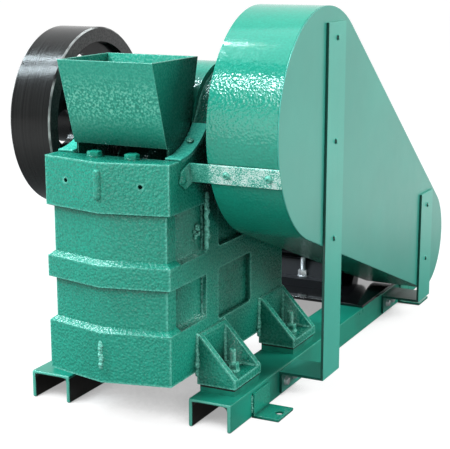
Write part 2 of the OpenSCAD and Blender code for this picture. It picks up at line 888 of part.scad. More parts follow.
module flywheel() {
    outer = wheel_x + wheel_w;
    color(black_paint) mirror([1, 0, 0]) {
        wheel_web(wheel_x + wheel_web_at, wheel_rim_r);
        spun(shaft_y, shaft_z) polygon([
            [wheel_rim_r, wheel_x], [wheel_r - rim_chamfer, wheel_x], [wheel_r, wheel_x + rim_chamfer],
            [wheel_r, outer - rim_chamfer], [wheel_r - rim_chamfer, outer], [wheel_rim_r, outer]
        ]);
    }
}

// Section of a belt with its outer face at r
module belt_section(r, x, play) {
    half = belt_w / 2 + play;
    polygon([
        [r + play, x - half - play * tan(groove_side)], [r + play, x + half + play * tan(groove_side)],
        [r - belt_h - play, x + half - (belt_h + play) * tan(groove_side)],
        [r - belt_h - play, x - half + (belt_h + play) * tan(groove_side)]
    ]);
}

// Grooved rim: the section from rim_r to r, cut by a groove for each belt
module grooved_section(rim_r, r) {
    mouth = belt_w / 2 + 2 * belt_play;
    difference() {
        rectangle(rim_r, wheel_mid - sheave_w / 2, r, wheel_mid + sheave_w / 2);
        for (x = belt_x) {
            belt_section(r - belt_sink, x, belt_play);
            rectangle(r - belt_sink, x - mouth, r + over, x + mouth);
        }
    }
}

module sheave() {
    color(black_paint) {
        wheel_web(wheel_mid, sheave_rim_r);
        spun(shaft_y, shaft_z) grooved_section(sheave_rim_r, sheave_r);
    }
}

module motor_pulley() {
    color(black_paint) spun(motor_y, motor_z) grooved_section(motor_shaft_d / 2 + rotor_gap, pulley_r);
}

module belt_loop(x) {
    a = [shaft_y, shaft_z];
    b = [motor_y, motor_z];
    phi = atan2(b[1] - a[1], b[0] - a[0]);
    theta = contact(norm(b - a), belt_r, belt_low_r);
    run = norm(b - a) * sin(theta);
    lapped = run + 2 * belt_lap;
    translate([0, a[0], a[1]]) rotate([90, 0, 90]) {
        rotate([0, 0, phi + theta]) rotate_extrude(angle = 360 - 2 * theta) belt_section(belt_r, x, tuck);
        rotate([0, 0, phi + theta]) translate([0, belt_lap, 0]) rotate([90, 0, 0])
            linear_extrude(lapped) belt_section(belt_r, x, 0);
        rotate([0, 0, phi - theta]) translate([0, run + belt_lap, 0]) rotate([90, 0, 0])
            linear_extrude(lapped) belt_section(belt_r, x, 0);
    }
    translate([0, b[0], b[1]]) rotate([90, 0, 90]) rotate([0, 0, phi - theta])
        rotate_extrude(angle = 2 * theta) belt_section(belt_low_r, x, tuck);
}

module drive_belts() {
    color(rubber) for (x = belt_x) belt_loop(x);
}

// Guard with its straps and bar

module guard_solid(x, length, inset) {
    loop_solid(x, length, guard_c, guard_r - inset, guard_low_c, guard_low_r - inset);
}

module guard_rim() {
    rim_w = guard_depth - guard_t;
    color(paint) difference() {
        guard_solid(guard_x0, rim_w, 0);
        guard_solid(guard_x0 - over, rim_w + 2 * over, guard_t);
    }
}

module guard_face() {
    color(paint) guard_solid(guard_x1 - guard_t, guard_t, 0);
}

// Strap down the guard's face, with screw heads and a foot that turns in to the channel's side
module guard_strap(y, top, heads) {
    head_r = strap_head_d / 2;
    color(paint) {
        along_y(y, strap_w) {
            rectangle(guard_x1, strap_foot, guard_x1 + strap_t, top);
            rectangle(base_x, strap_foot, guard_x1 + strap_t, strap_foot + strap_t);
            rectangle(base_x, strap_foot - strap_flange, base_x + strap_t, strap_foot + strap_t);
        }
        for (drop = heads) spun(y + strap_w / 2, top - drop) polygon([
            [0, guard_x1 + strap_t / 2], [head_r, guard_x1 + strap_t / 2], [head_r, guard_x1 + strap_t],
            [head_r - strap_head_slope, guard_x1 + strap_t + strap_head_h],
            [0, guard_x1 + strap_t + strap_head_h]
        ]);
    }
}

// Bar across the rim's front, bent round onto the side wall
module guard_bar() {
    reach = guard_r + seat;
    color(paint) {
        translate([0, guard_c[0], guard_c[1]]) rotate([bar_tilt, 0, 0])
            translate([wall_x, -reach - bar_t, -bar_h / 2]) cube([guard_x1 - wall_x, bar_t, bar_h]);
        along_x(wall_x, bar_t) translate(guard_c) rotate(bar_tilt) polygon([
            [-reach, -bar_h / 2], [-reach, bar_h / 2], [-reach - tab_len + tab_tip, bar_h / 2],
            [-reach - tab_len, 0], [-reach - tab_len + tab_tip, -bar_h / 2]
        ]);
    }
}

// Motor

module motor_plate() {
    color(black_paint) translate([0, 0, channel_h]) linear_extrude(motor_plate_t)
        rectangle(-base_x, motor_plate_y, base_x, motor_plate_y + motor_plate_len);
}

// Foot of the motor on one side, up to the body
module motor_foot(side) {
    inner = (foot_pitch - foot_w) / 2;
    outer = (foot_pitch + foot_w) / 2;
    shoulder = motor_core_r * foot_shoulder;
    root = motor_core_r * foot_root;
    along_x(motor_mid - foot_half_len, 2 * foot_half_len) translate([motor_y, motor_foot_z]) polygon([
        [side * inner, 0], [side * outer, 0], [side * outer, foot_t], [side * foot_pitch / 2, foot_t],
        [side * shoulder[0], motor_axis_h + shoulder[1]], [side * root[0], motor_axis_h + root[1]]
    ]);
}

module motor_body() {
    color(black_paint) {
        rod_x(motor_x0, motor_len, motor_y, motor_z, motor_core_r);
        along_x(motor_x0, motor_len) translate([motor_y, motor_z])
            for (i = [0 : motor_ribs - 1]) rotate(i * 360 / motor_ribs)
                rectangle(motor_core_r - over, -motor_rib_t / 2, motor_r, motor_rib_t / 2);
        for (side = [-1, 1]) motor_foot(side);
    }
}

module motor_front_shield() {
    bore = motor_shaft_d / 2 + rotor_gap;
    color(black_paint) spun(motor_y, motor_z) polygon([
        [bore, motor_x1], [motor_r, motor_x1], [motor_r, motor_x1 + shield_len * shield_edge],
        [motor_end_r, motor_x1 + shield_len * shield_cone],
        [shield_boss_r, motor_x1 + shield_len * shield_flat],
        [shield_boss_r, motor_face], [bore, motor_face]
    ]);
}

// Fan cowl with a ring of blind slots in its end
module motor_fan_cowl() {
    end_x = motor_x0 - cowl_len;
    color(black_paint) difference() {
        spun(motor_y, motor_z) polygon([
            [0, motor_x0], [motor_r, motor_x0], [motor_r, end_x + cowl_len * cowl_edge],
            [motor_end_r, end_x], [0, end_x]
        ]);
        for (i = [0 : cowl_slots - 1])
            translate([end_x - over, motor_y, motor_z]) rotate([i * 360 / cowl_slots, 0, 0])
                translate([0, -slot_w / 2, slot_low_r])
                    cube([slot_depth + over, slot_w, slot_high_r - slot_low_r]);
    }
}

module terminal_box() {
    lid_w = box_w + 2 * lid_lap;
    color(black_paint) translate([motor_mid, motor_y, motor_z + motor_r]) {
        translate([-box_w / 2, -box_w / 2, 0]) cube([box_w, box_w, box_h - lid_t + over]);
        translate([-lid_w / 2, -lid_w / 2, box_h - lid_t]) cube([lid_w, lid_w, lid_t]);
    }
}

module motor_shaft() {
    end_x = wheel_mid + sheave_w / 2;
    color(bare_steel) rod_x(motor_x1, end_x - motor_x1, motor_y, motor_z, motor_shaft_d / 2);
}

mirror([1, 0, 0]) base_channel();  // left_base_channel
base_channel();  // right_base_channel
mirror([1, 0, 0]) floor_lug(-1);  // front_left_lug
floor_lug(-1);  // front_right_lug
mirror([1, 0, 0]) floor_lug(1);  // rear_left_lug
floor_lug(1);  // rear_right_lug
front_wall();
mirror([1, 0, 0]) side_wall();  // left_side_wall
side_wall();  // right_side_wall
rear_wall();
mirror([1, 0, 0]) gusset(left_gusset_y);  // front_left_gusset
gusset(front_gusset_y);  // front_right_gusset
mirror([1, 0, 0]) gusset(rear_gusset_y);  // rear_left_gusset
gusset(rear_gusset_y);  // rear_right_gusset
gusset_pads();
fixed_jaw_plate();
swing_jaw();
swing_jaw_plate();
mirror([1, 0, 0]) cheek_plate();  // left_cheek_plate
cheek_plate();  // right_cheek_plate
toggle_plate();
tension_rod();
return_spring();
hopper();
mirror([1, 0, 0]) cover_strip();  // left_cover_strip
cover_strip();  // right_cover_strip
pitman_cover();
mirror([1, 0, 0]) bearing_housing();  // left_bearing_housing
bearing_housing();  // right_bearing_housing
eccentric_shaft();
flywheel();
sheave();
drive_belts();
motor_pulley();
guard_rim();
guard_face();
guard_strap(front_strap_y, front_strap_top, front_heads);  // front_guard_strap
guard_strap(rear_strap_y, rear_strap_top, rear_heads);  // rear_guard_strap
guard_bar();
motor_plate();
motor_body();
motor_front_shield();
motor_fan_cowl();
terminal_box();
motor_shaft();
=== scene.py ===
"""Looks of a small laboratory jaw crusher: enamel, rounded castings, fasteners, weld beads and studio."""

import math
import random

import bmesh
import bpy
from mathutils import Matrix, Vector


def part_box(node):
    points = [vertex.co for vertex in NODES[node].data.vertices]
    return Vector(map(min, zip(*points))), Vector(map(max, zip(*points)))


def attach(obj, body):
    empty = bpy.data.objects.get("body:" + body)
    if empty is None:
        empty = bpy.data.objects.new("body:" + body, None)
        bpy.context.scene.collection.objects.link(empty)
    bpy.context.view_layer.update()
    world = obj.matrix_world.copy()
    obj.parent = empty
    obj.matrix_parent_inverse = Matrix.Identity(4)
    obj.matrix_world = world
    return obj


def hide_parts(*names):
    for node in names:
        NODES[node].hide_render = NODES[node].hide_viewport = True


bl_info = {
    "name": "Laboratory jaw crusher",
    "version": (1, 0, 0),
    "blender": (4, 5, 0),
    "location": "3D View > Sidebar > Crusher",
    "description": "Enamel, rounded castings, fasteners, weld beads and studio of a small jaw crusher",
    "category": "Object",
}

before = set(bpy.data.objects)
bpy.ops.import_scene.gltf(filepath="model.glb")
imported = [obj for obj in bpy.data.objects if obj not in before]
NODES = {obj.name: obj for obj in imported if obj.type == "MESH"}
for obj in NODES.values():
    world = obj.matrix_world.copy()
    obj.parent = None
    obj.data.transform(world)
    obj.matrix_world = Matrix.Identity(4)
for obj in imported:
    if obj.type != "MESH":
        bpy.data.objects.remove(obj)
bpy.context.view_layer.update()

MM = 0.001
UP = Vector((0, 0, 1))
RIGHT = Vector((1, 0, 0))

# Solids that stand at each corner of the machine
CORNERS = [f"{end}_{side}" for end in ("front", "rear") for side in ("left", "right")]
GUSSETS = [f"{corner}_gusset" for corner in CORNERS]
LUGS = [f"{corner}_lug" for corner in CORNERS]

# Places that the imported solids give
WALL_LOW, WALL_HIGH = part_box("front_wall")
WALL_X = WALL_HIGH.x
FRAME_TOP = WALL_HIGH.z
JOINT_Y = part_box("left_side_wall")[0].y
CHANNEL_LOW, CHANNEL_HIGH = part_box("right_base_channel")
CHANNEL_IN, BASE_X, CHANNEL_TOP = CHANNEL_LOW.x, CHANNEL_HIGH.x, CHANNEL_HIGH.z
GUARD_LOW, GUARD_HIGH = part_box("guard_rim")
AXLE = sum(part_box("eccentric_shaft"), Vector()) / 2
WHEEL_LOW, WHEEL_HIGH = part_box("flywheel")
WHEEL_R = (WHEEL_HIGH.z - WHEEL_LOW.z) / 2

# Sizes of the solids that their boxes don't give
WHEEL_HALF = 33 * MM
WHEEL_EDGE = 2 * MM
WHEEL_RIM_IN = 0.838 * WHEEL_R
GUSSET_FOOT = 12 * MM

# Most of a noise lies between these numbers
NOISE_SPAN = (0.35, 0.65)

# How a solid's mesh is cleaned, and which of its edges are rounded
MERGE = 0.005 * MM
FLAT_ANGLE = math.radians(0.5)
SHARP_ANGLE = math.radians(30)
SEAM_REACH = 0.05 * MM


class CrusherPaint(bpy.types.PropertyGroup):
    """Colours and surface sizes of the finishes."""

    green: bpy.props.FloatVectorProperty(
        name="Casting green", description="Enamel of the castings, channels, hopper and guard's rim",
        subtype="COLOR", min=0, max=1, default=(0.01, 0.29, 0.2))
    sheet_green: bpy.props.FloatVectorProperty(
        name="Sheet green", description="Enamel of the guard's flat face, its straps and the cover strips",
        subtype="COLOR", min=0, max=1, default=(0.035, 0.32, 0.245))
    # Painted shade for the dark line along the straps' cut edges
    deep_green: bpy.props.FloatVectorProperty(
        name="Deep green", description="Thin enamel on the straps' cut edges",
        subtype="COLOR", min=0, max=1, default=(0.003, 0.06, 0.043))
    # Pale edges and beads: partly thin worn enamel, partly a painted highlight where edges catch light
    worn_green: bpy.props.FloatVectorProperty(
        name="Worn green", description="Enamel that is thin and pale on edges and weld beads",
        subtype="COLOR", min=0, max=1, default=(0.2, 0.66, 0.53))
    black: bpy.props.FloatVectorProperty(
        name="Black", description="Paint of the motor, its plate and the wheels",
        subtype="COLOR", min=0, max=1, default=(0.008, 0.008, 0.009))
    peel: bpy.props.FloatProperty(
        name="Orange peel", description="Size of the enamel's bumps", unit="LENGTH", default=3.3 * MM)
    peel_depth: bpy.props.FloatProperty(
        name="Peel depth", description="Depth of the enamel's bumps", unit="LENGTH", default=0.85 * MM)
    fleck: bpy.props.FloatProperty(
        name="Flecks", description="How much the enamel's tone changes from bump to bump",
        subtype="FACTOR", min=0, max=1, default=0.2)
    # Painted shade: ambient occlusion darkens the enamel within this reach of a corner
    grime: bpy.props.FloatProperty(
        name="Grime", description="How far out of a corner the enamel darkens",
        unit="LENGTH", default=110 * MM)
    cast_edge: bpy.props.FloatProperty(
        name="Casting edge", description="Radius of the castings' edges", unit="LENGTH", default=2.4 * MM)
    sheet_edge: bpy.props.FloatProperty(
        name="Sheet edge", description="Radius of the sheets' edges", unit="LENGTH", default=0.7 * MM)


class CrusherFasteners(bpy.types.PropertyGroup):
    """Sizes of bolts, screws and weld beads."""

    bolt: bpy.props.FloatProperty(
        name="Frame bolt", description="Width across flats of the bolts on the frame's top",
        unit="LENGTH", default=17 * MM)
    bearing_bolt: bpy.props.FloatProperty(
        name="Bearing bolt", description="Width across flats of the bearing housings' bolts",
        unit="LENGTH", default=13 * MM)
    strap_bolt: bpy.props.FloatProperty(
        name="Strap bolt", description="Width across flats of the bolts in the straps' feet",
        unit="LENGTH", default=10 * MM)
    nut: bpy.props.FloatProperty(
        name="Nut", description="Width across flats of the gussets' and motor's nuts",
        unit="LENGTH", default=16 * MM)
    stud: bpy.props.FloatProperty(
        name="Stud", description="Diameter of the gussets' and motor's studs", unit="LENGTH", default=10 * MM)
    screw: bpy.props.FloatProperty(
        name="Cover screw", description="Head diameter of the screws in covers and bar",
        unit="LENGTH", default=10 * MM)
    bead: bpy.props.FloatProperty(
        name="Weld bead", description="Radius of the weld beads", unit="LENGTH", default=2.6 * MM)


class CrusherStage(bpy.types.PropertyGroup):
    """Camera, floor and lamps."""

    camera: bpy.props.FloatVectorProperty(
        name="Camera", description="Place of the camera", subtype="TRANSLATION", unit="LENGTH",
        default=(0.8148, -1.7428, 0.6169))
    target: bpy.props.FloatVectorProperty(
        name="Target", description="Point in the middle of the picture", subtype="TRANSLATION", unit="LENGTH",
        default=(0.07115, -0.2455, 0.24318))
    lens: bpy.props.FloatProperty(
        name="Lens", description="Focal length on a sensor 36 mm wide", unit="CAMERA", default=96.66)
    floor: bpy.props.FloatProperty(
        name="Floor", description="Share of the light that the floor throws back",
        subtype="FACTOR", min=0, max=1, default=0.18)
    ambient: bpy.props.FloatProperty(
        name="Ambient", description="Brightness of the even light from all round", default=0.2)
    key: bpy.props.FloatProperty(
        name="Key lamp", description="Power of the high lamp at the front", unit="POWER", default=16)
    low: bpy.props.FloatProperty(
        name="Low lamp", description="Power of the low lamp at the front", unit="POWER", default=7)
    fill: bpy.props.FloatProperty(
        name="Fill lamp", description="Power of the lamp beside the camera", unit="POWER", default=10.5)
    top: bpy.props.FloatProperty(
        name="Top lamp", description="Power of the lamp overhead", unit="POWER", default=12.5)
    side: bpy.props.FloatProperty(
        name="Side lamp", description="Power of the lamp at the right", unit="POWER", default=49)
    rim: bpy.props.FloatProperty(
        name="Rim lamp", description="Power of the small lamp that shines on the guard's rim",
        unit="POWER", default=13)
    strip: bpy.props.FloatProperty(
        name="Strip lamps", description="Power of the narrow lamps over the flywheel",
        unit="POWER", default=30)
    cool: bpy.props.FloatVectorProperty(
        name="Cool light", description="Colour of the rim lamp and the lamps overhead",
        subtype="COLOR", min=0, max=1, default=(0.8, 0.94, 1))


class Graph:
    """The nodes of a material or a world under construction."""

    def __init__(self, owner):
        owner.use_nodes = True
        self.nodes = owner.node_tree.nodes
        self.links = owner.node_tree.links

    def put(self, socket, value):
        """Links a node's output to the socket, or sets the socket's own value."""
        if isinstance(value, bpy.types.NodeSocket):
            self.links.new(value, socket)
        elif socket.type == "RGBA":
            socket.default_value = (*value[:3], 1)
        else:
            socket.default_value = value

    def add(self, kind, inputs=None, **settings):
        """Makes a node with these settings and inputs."""
        node = self.nodes.new(kind)
        for name, value in settings.items():
            setattr(node, name, value)
        for name, value in (inputs or {}).items():
            self.put(node.inputs[name], value)
        return node

    def math(self, operation, first, second=0.0):
        return self.add("ShaderNodeMath", {0: first, 1: second}, operation=operation).outputs[0]

    def times(self, first, second):
        return self.math("MULTIPLY", first, second)

    def above(self, value, limit):
        """1 where the value is over the limit, 0 elsewhere."""
        return self.math("GREATER_THAN", value, limit)

    def below(self, value, limit):
        """1 where the value is under the limit, 0 elsewhere."""
        return self.math("LESS_THAN", value, limit)

    def blend(self, first, second, share):
        """Sum of two numbers, with the second one's share in it."""
        return self.math("ADD", self.times(first, 1 - share), self.times(second, share))

    def span(self, value, low, high, start=0.0, end=1.0, **settings):
        """Maps start to end onto low to high."""
        inputs = {"Value": value, "From Min": start, "From Max": end, "To Min": low, "To Max": high}
        return self.add("ShaderNodeMapRange", inputs, **settings).outputs["Result"]

    def fade(self, value, low, high, start, end):
        """Maps start to end onto low to high, with soft ends."""
        return self.span(value, low, high, start, end, interpolation_type="SMOOTHSTEP")

    def axis(self, name, vector):
        return self.add("ShaderNodeSeparateXYZ", {"Vector": vector}).outputs[name]

    def length(self, vector):
        return self.add("ShaderNodeVectorMath", {0: vector}, operation="LENGTH").outputs["Value"]

    def rays(self):
        """1 for rays from the camera, and 1 for those in gloss or through glass."""
        path = self.add("ShaderNodeLightPath").outputs
        return path["Is Camera Ray"], self.math("MAXIMUM", path["Is Glossy Ray"], path["Is Transmission Ray"])


class Finish(Graph):
    """A procedural material under construction, on the object's own coordinates."""

    def __init__(self, name, **shader):
        self.material = bpy.data.materials.new(name)
        super().__init__(self.material)
        self.shader = self.nodes["Principled BSDF"]
        self.place = self.add("ShaderNodeTexCoord").outputs["Object"]
        self.set(**shader)

    def set(self, **shader):
        """Sets or links the shader's sockets, with _ for a blank in a socket's name."""
        for socket, value in shader.items():
            self.put(self.shader.inputs[socket.replace("_", " ")], value)

    def at(self, name):
        """Place along one of the object's axes."""
        return self.axis(name, self.place)

    def facing(self, name):
        """How much the surface faces along one of the axes, from -1 to 1."""
        return self.axis(name, self.add("ShaderNodeNewGeometry").outputs["Normal"])

    def faces(self, name, least):
        """1 where the surface faces either way along one of the axes, 0 elsewhere."""
        return self.above(self.math("ABSOLUTE", self.facing(name)), least)

    def noise(self, scale, detail=2.0, vector=None):
        inputs = {"Vector": vector or self.place, "Scale": scale, "Detail": detail}
        return self.add("ShaderNodeTexNoise", inputs).outputs["Fac"]

    def flecks(self, paint):
        """Noise of about the size of the enamel's bumps."""
        return self.noise(1.1 / paint.peel)

    def lines(self, value, scale, detail=2.0):
        """Noise that changes with one number only."""
        inputs = {"W": value, "Scale": scale, "Detail": detail}
        return self.add("ShaderNodeTexNoise", inputs, noise_dimensions="1D").outputs["Fac"]

    def cells(self, scale):
        inputs = {"Vector": self.place, "Scale": scale, "Smoothness": 0.6}
        return self.add("ShaderNodeTexVoronoi", inputs, feature="SMOOTH_F1").outputs["Distance"]

    def ramp(self, factor, *stops):
        """Colours along a factor, each stop a position and a colour."""
        node = self.add("ShaderNodeValToRGB", {"Fac": factor})
        elements = node.color_ramp.elements
        while len(elements) < len(stops):
            elements.new(0.5)
        for element, (position, colour) in zip(elements, stops):
            element.position = position
            element.color = (*colour[:3], 1)
        return node.outputs["Color"]

    def clouded(self, factor, dark, pale):
        """Two tones over a noise."""
        return self.ramp(factor, (0.3, dark), (0.7, pale))

    def mix(self, factor, first, second):
        inputs = {"Fac": factor, "Color1": first, "Color2": second}
        return self.add("ShaderNodeMixRGB", inputs).outputs["Color"]

    def relief(self, height, depth, strength=1.0, normal=None):
        inputs = {"Height": height, "Distance": depth, "Strength": strength}
        if normal:
            inputs["Normal"] = normal
        return self.add("ShaderNodeBump", inputs).outputs["Normal"]

    def shelter(self, reach):
        """0 deep in a corner, 1 where nothing is near."""
        return self.add("ShaderNodeAmbientOcclusion", {"Distance": reach}, samples=6).outputs["AO"]

    def edges(self, reach):
        """1 on an outer edge or a thin piece, 0 where the solid is thicker than the reach."""
        inputs = {"Distance": reach}
        node = self.add("ShaderNodeAmbientOcclusion", inputs, samples=6, inside=True, only_local=True)
        return self.span(node.outputs["AO"], 1.0, 0.0, 0.55, 0.95)


def shade(colour, factor):
    """A colour made darker or paler."""
    return tuple(factor * channel for channel in colour[:3])


def finish(maker):
    """The material that a maker gives, made once."""
    name = maker.__name__
    return bpy.data.materials.get(name) or maker(bpy.context.scene.crusher_paint).material


def enamel(name, colour, paint, flecks, grime, depth=1.0, edge=0.0, rough=0.2, smooth_from=None):
    """Glossy hammered enamel, its tone uneven from bump to bump, with painted shade in corners, and edges
    paler as worn paint and as a painted highlight.

    Where a height is given as smooth_from, the bumps fade away above it.
    """
    made = Finish(name, IOR=1.5)
    fleck = made.flecks(paint)
    tone = made.blend(made.noise(9, 5), fleck, 0.7)
    unshaded = made.ramp(tone, (0.36, shade(colour, 1 - flecks)), (0.64, shade(colour, 1 + flecks)))
    # Painted shade: the enamel darkens where a corner is near
    shade_free = made.span(made.shelter(grime), 0.0, 1.0, 0.28, 0.82)
    coat = made.mix(shade_free, shade(colour, 0.13), unshaded)
    if edge:
        # The flush joint of front and side walls is no outer edge
        from_joint = made.math("ABSOLUTE", made.math("SUBTRACT", made.at("Y"), JOINT_Y))
        # Painted highlight and wear: outer edges turn paler, unevenly
        wear_and_highlight = made.times(made.edges(edge), made.span(fleck, 0.5, 1.0, *NOISE_SPAN))
        wear_and_highlight = made.times(wear_and_highlight, made.above(from_joint, edge + 0.5 * MM))
        coat = made.mix(wear_and_highlight, coat, paint.worn_green)
    bumps = 1.0
    if smooth_from:
        bumps = made.span(made.at("Z"), 1.0, 0.12, smooth_from, smooth_from + 30 * MM)
    waves = made.relief(made.noise(0.16 / paint.peel), 1.2 * depth * paint.peel_depth, 0.5)
    made.set(Base_Color=coat, Roughness=made.span(fleck, rough, 1.8 * rough, *NOISE_SPAN),
             Normal=made.relief(made.cells(1 / paint.peel), depth * paint.peel_depth, bumps, waves))
    return made


def casting_enamel(paint):
    """Thick enamel over a sand-cast skin."""
    return enamel("casting_enamel", paint.green, paint, paint.fleck, paint.grime, edge=1.5 * paint.cast_edge)


def strip_enamel(paint):
    """Cover strips' enamel, a paler copy of the sheet green: painted light where the strips catch light."""
    # Painted light: 1.6 times paler than the sheet green
    bright = shade(paint.sheet_green, 1.6)
    return enamel("strip_enamel", bright, paint, 0.4 * paint.fleck, 0.1 * paint.grime, depth=0.2)


def rim_enamel(paint):
    """Enamel on rolled sheet, evener than on the castings and smooth at the guard's top."""
    return enamel("rim_enamel", paint.green, paint, 0.5 * paint.fleck, 0.1 * paint.grime,
                  depth=0.42, rough=0.1, smooth_from=GUARD_HIGH.z - 88 * MM)


def hopper_enamel(paint):
    """Enamel of the hopper's sheets: smooth at the top, flecked below it with painted glints, with painted
    shade on the faces away from the front and down at its foot.
    """
    made = Finish("hopper_enamel", IOR=1.5)
    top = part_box("hopper")[1].z
    fleck_foot, fleck_full, fleck_fade, fleck_top = (top - drop * MM for drop in (95, 65, 45, 15))
    shade_foot, shade_top = (top - drop * MM for drop in (120, 70))
    # Painted light and shade: faces to the front take this paler copy of the casting green, other faces a
    # darker copy
    flat = shade(paint.green, 1.15)
    # Pale flecks in a band of heights on the faces to the front are painted glints
    pale = (0.2, 0.6, 0.46)
    foot_shade = (0, 0.01, 0.007)
    height = made.at("Z")
    fleck = made.flecks(paint)
    front = made.below(made.facing("Y"), -0.5)
    middle = made.times(made.span(height, 0, 1, fleck_foot, fleck_full),
                        made.span(height, 1, 0.15, fleck_fade, fleck_top))
    flecks_and_glints = made.ramp(fleck, (0.4, shade(flat, 0.75)), (0.52, shade(flat, 1.1)), (0.64, pale))
    coat = made.mix(made.times(middle, front), made.mix(front, shade(flat, 0.55), flat), flecks_and_glints)
    # Painted shade: darker towards the hopper's foot and in its corners
    unshaded = made.times(made.span(height, 0.25, 1, shade_foot, shade_top),
                       made.span(made.shelter(paint.grime), 0.13, 1, 0.2, 0.75))
    coat = made.mix(unshaded, foot_shade, coat)
    # Edges paler: partly worn enamel, partly a painted highlight
    made.set(Base_Color=made.mix(made.edges(1.5 * paint.sheet_edge), coat, paint.worn_green),
             Roughness=made.span(fleck, 0.2, 0.36, *NOISE_SPAN),
             Normal=made.relief(made.cells(1 / paint.peel), 0.5 * paint.peel_depth))
    return made


def bar_enamel(paint):
    """Wrinkled enamel with pale and white flecks painted as glints where the bar lies on the guard."""
    made = Finish("bar_enamel", IOR=1.5)
    pale, glint_white = (0.14, 0.6, 0.47), (0.75, 0.97, 0.9)
    # Painted glints: the flecks thicken where the bar lies on the guard
    wear_and_glint = made.span(made.at("X"), 0.75, 1.05, GUARD_LOW.x - 4 * MM, GUARD_LOW.x + 6 * MM)
    fleck = made.times(made.blend(made.noise(60, 3), made.noise(620, 3), 0.7), wear_and_glint)
    made.set(Base_Color=made.ramp(fleck, (0.34, paint.green), (0.5, pale), (0.57, glint_white)),
             Roughness=made.span(fleck, 0.2, 0.4, *NOISE_SPAN),
             Normal=made.relief(made.cells(1.3 / paint.peel), 0.5 * paint.peel_depth))
    return made


def pad_packing(paint):
    """Packing plate painted with the channel, with a black band painted along its top as the shadow under the
    gusset's foot.
    """
    made = Finish("pad_packing", IOR=1.5, Specular_IOR_Level=0.3)
    # Painted shadow: a black band along the pad's top, for the dark line under the gusset's foot
    shadow_band = made.above(made.at("Z"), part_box("gusset_pads")[1].z - 3 * MM)
    cloud = made.noise(40, 4)
    green = made.clouded(cloud, shade(paint.green, 0.55), shade(paint.green, 0.9))
    shadow_black = made.clouded(cloud, (0.004, 0.004, 0.004), (0.012, 0.011, 0.01))
    made.set(Base_Color=made.mix(shadow_band, green, shadow_black), Roughness=made.span(cloud, 0.3, 0.55),
             Normal=made.relief(made.noise(380, 3), 0.12 * MM, 0.8))
    return made


def smooth_sheet(name, colour, painted_edge_tone):
    """Thin smooth enamel of flat sheet, with a painted tone on the cut edges that face front and rear:
    painted shade on the straps, a painted highlight on the guard's face.
    """
    made = Finish(name, IOR=1.5, Coat_Weight=0.2, Coat_Roughness=0.15)
    flat = made.clouded(made.noise(6, 4), shade(colour, 0.92), shade(colour, 1.12))
    waves = made.relief(made.noise(7), 1.2 * MM, 0.4)
    made.set(Base_Color=made.mix(made.faces("Y", 0.6), flat, painted_edge_tone),
             Roughness=made.span(made.noise(40, 4), 0.26, 0.36),
             Normal=made.relief(made.noise(420), 0.06 * MM, 1.0, waves))
    return made


def sheet_enamel(paint):
    """Straps, a paler copy of the guard's sheet green as painted light, with painted shade on their cut
    edges.
    """
    # Painted light: the straps are a copy of the sheet green 1.25 times paler than the guard's face they sit
    # on
    return smooth_sheet("sheet_enamel", shade(paint.sheet_green, 1.25), paint.deep_green)


def face_enamel(paint):
    """Guard's face, with a painted highlight along its folded edge."""
    return smooth_sheet("face_enamel", paint.sheet_green, shade(paint.sheet_green, 1.3))


def channel_enamel(paint):
    """Enamel of the channels outside, with black painted shade between their flanges and on the sides under
    the machine.
    """
    made = Finish("channel_enamel", IOR=1.5, Specular_IOR_Level=0.4)
    # Flange and web a little thinner than they are, so that the hollow's own faces take the painted shade,
    # and a thin skin on the sides that face under the machine takes it too
    flange, web, skin = 5.5 * MM, 4 * MM, 0.4 * MM
    across = made.math("ABSOLUTE", made.at("X"))
    shaded_hollow = made.times(made.above(across, CHANNEL_IN + flange), made.below(across, BASE_X - flange))
    shaded_hollow = made.math("MAXIMUM", shaded_hollow, made.below(across, CHANNEL_IN + skin))
    shaded_hollow = made.times(shaded_hollow, made.below(made.at("Z"), CHANNEL_TOP - web))
    cloud = made.noise(18, 5)
    green = made.clouded(cloud, shade(paint.green, 0.8), shade(paint.green, 1.1))
    # Painted shade: near black where the hollow and the sides under the machine lie in shadow
    scale = made.clouded(made.noise(90, 5), (0.004, 0.004, 0.004), (0.014, 0.012, 0.01))
    cut_end = made.times(made.faces("Y", 0.6), 0.45)
    made.set(Base_Color=made.mix(shaded_hollow, made.mix(cut_end, green, paint.worn_green), scale),
             Roughness=made.span(cloud, 0.22, 0.4),
             Normal=made.relief(made.noise(330, 3), 0.12 * MM, 0.8))
    return made


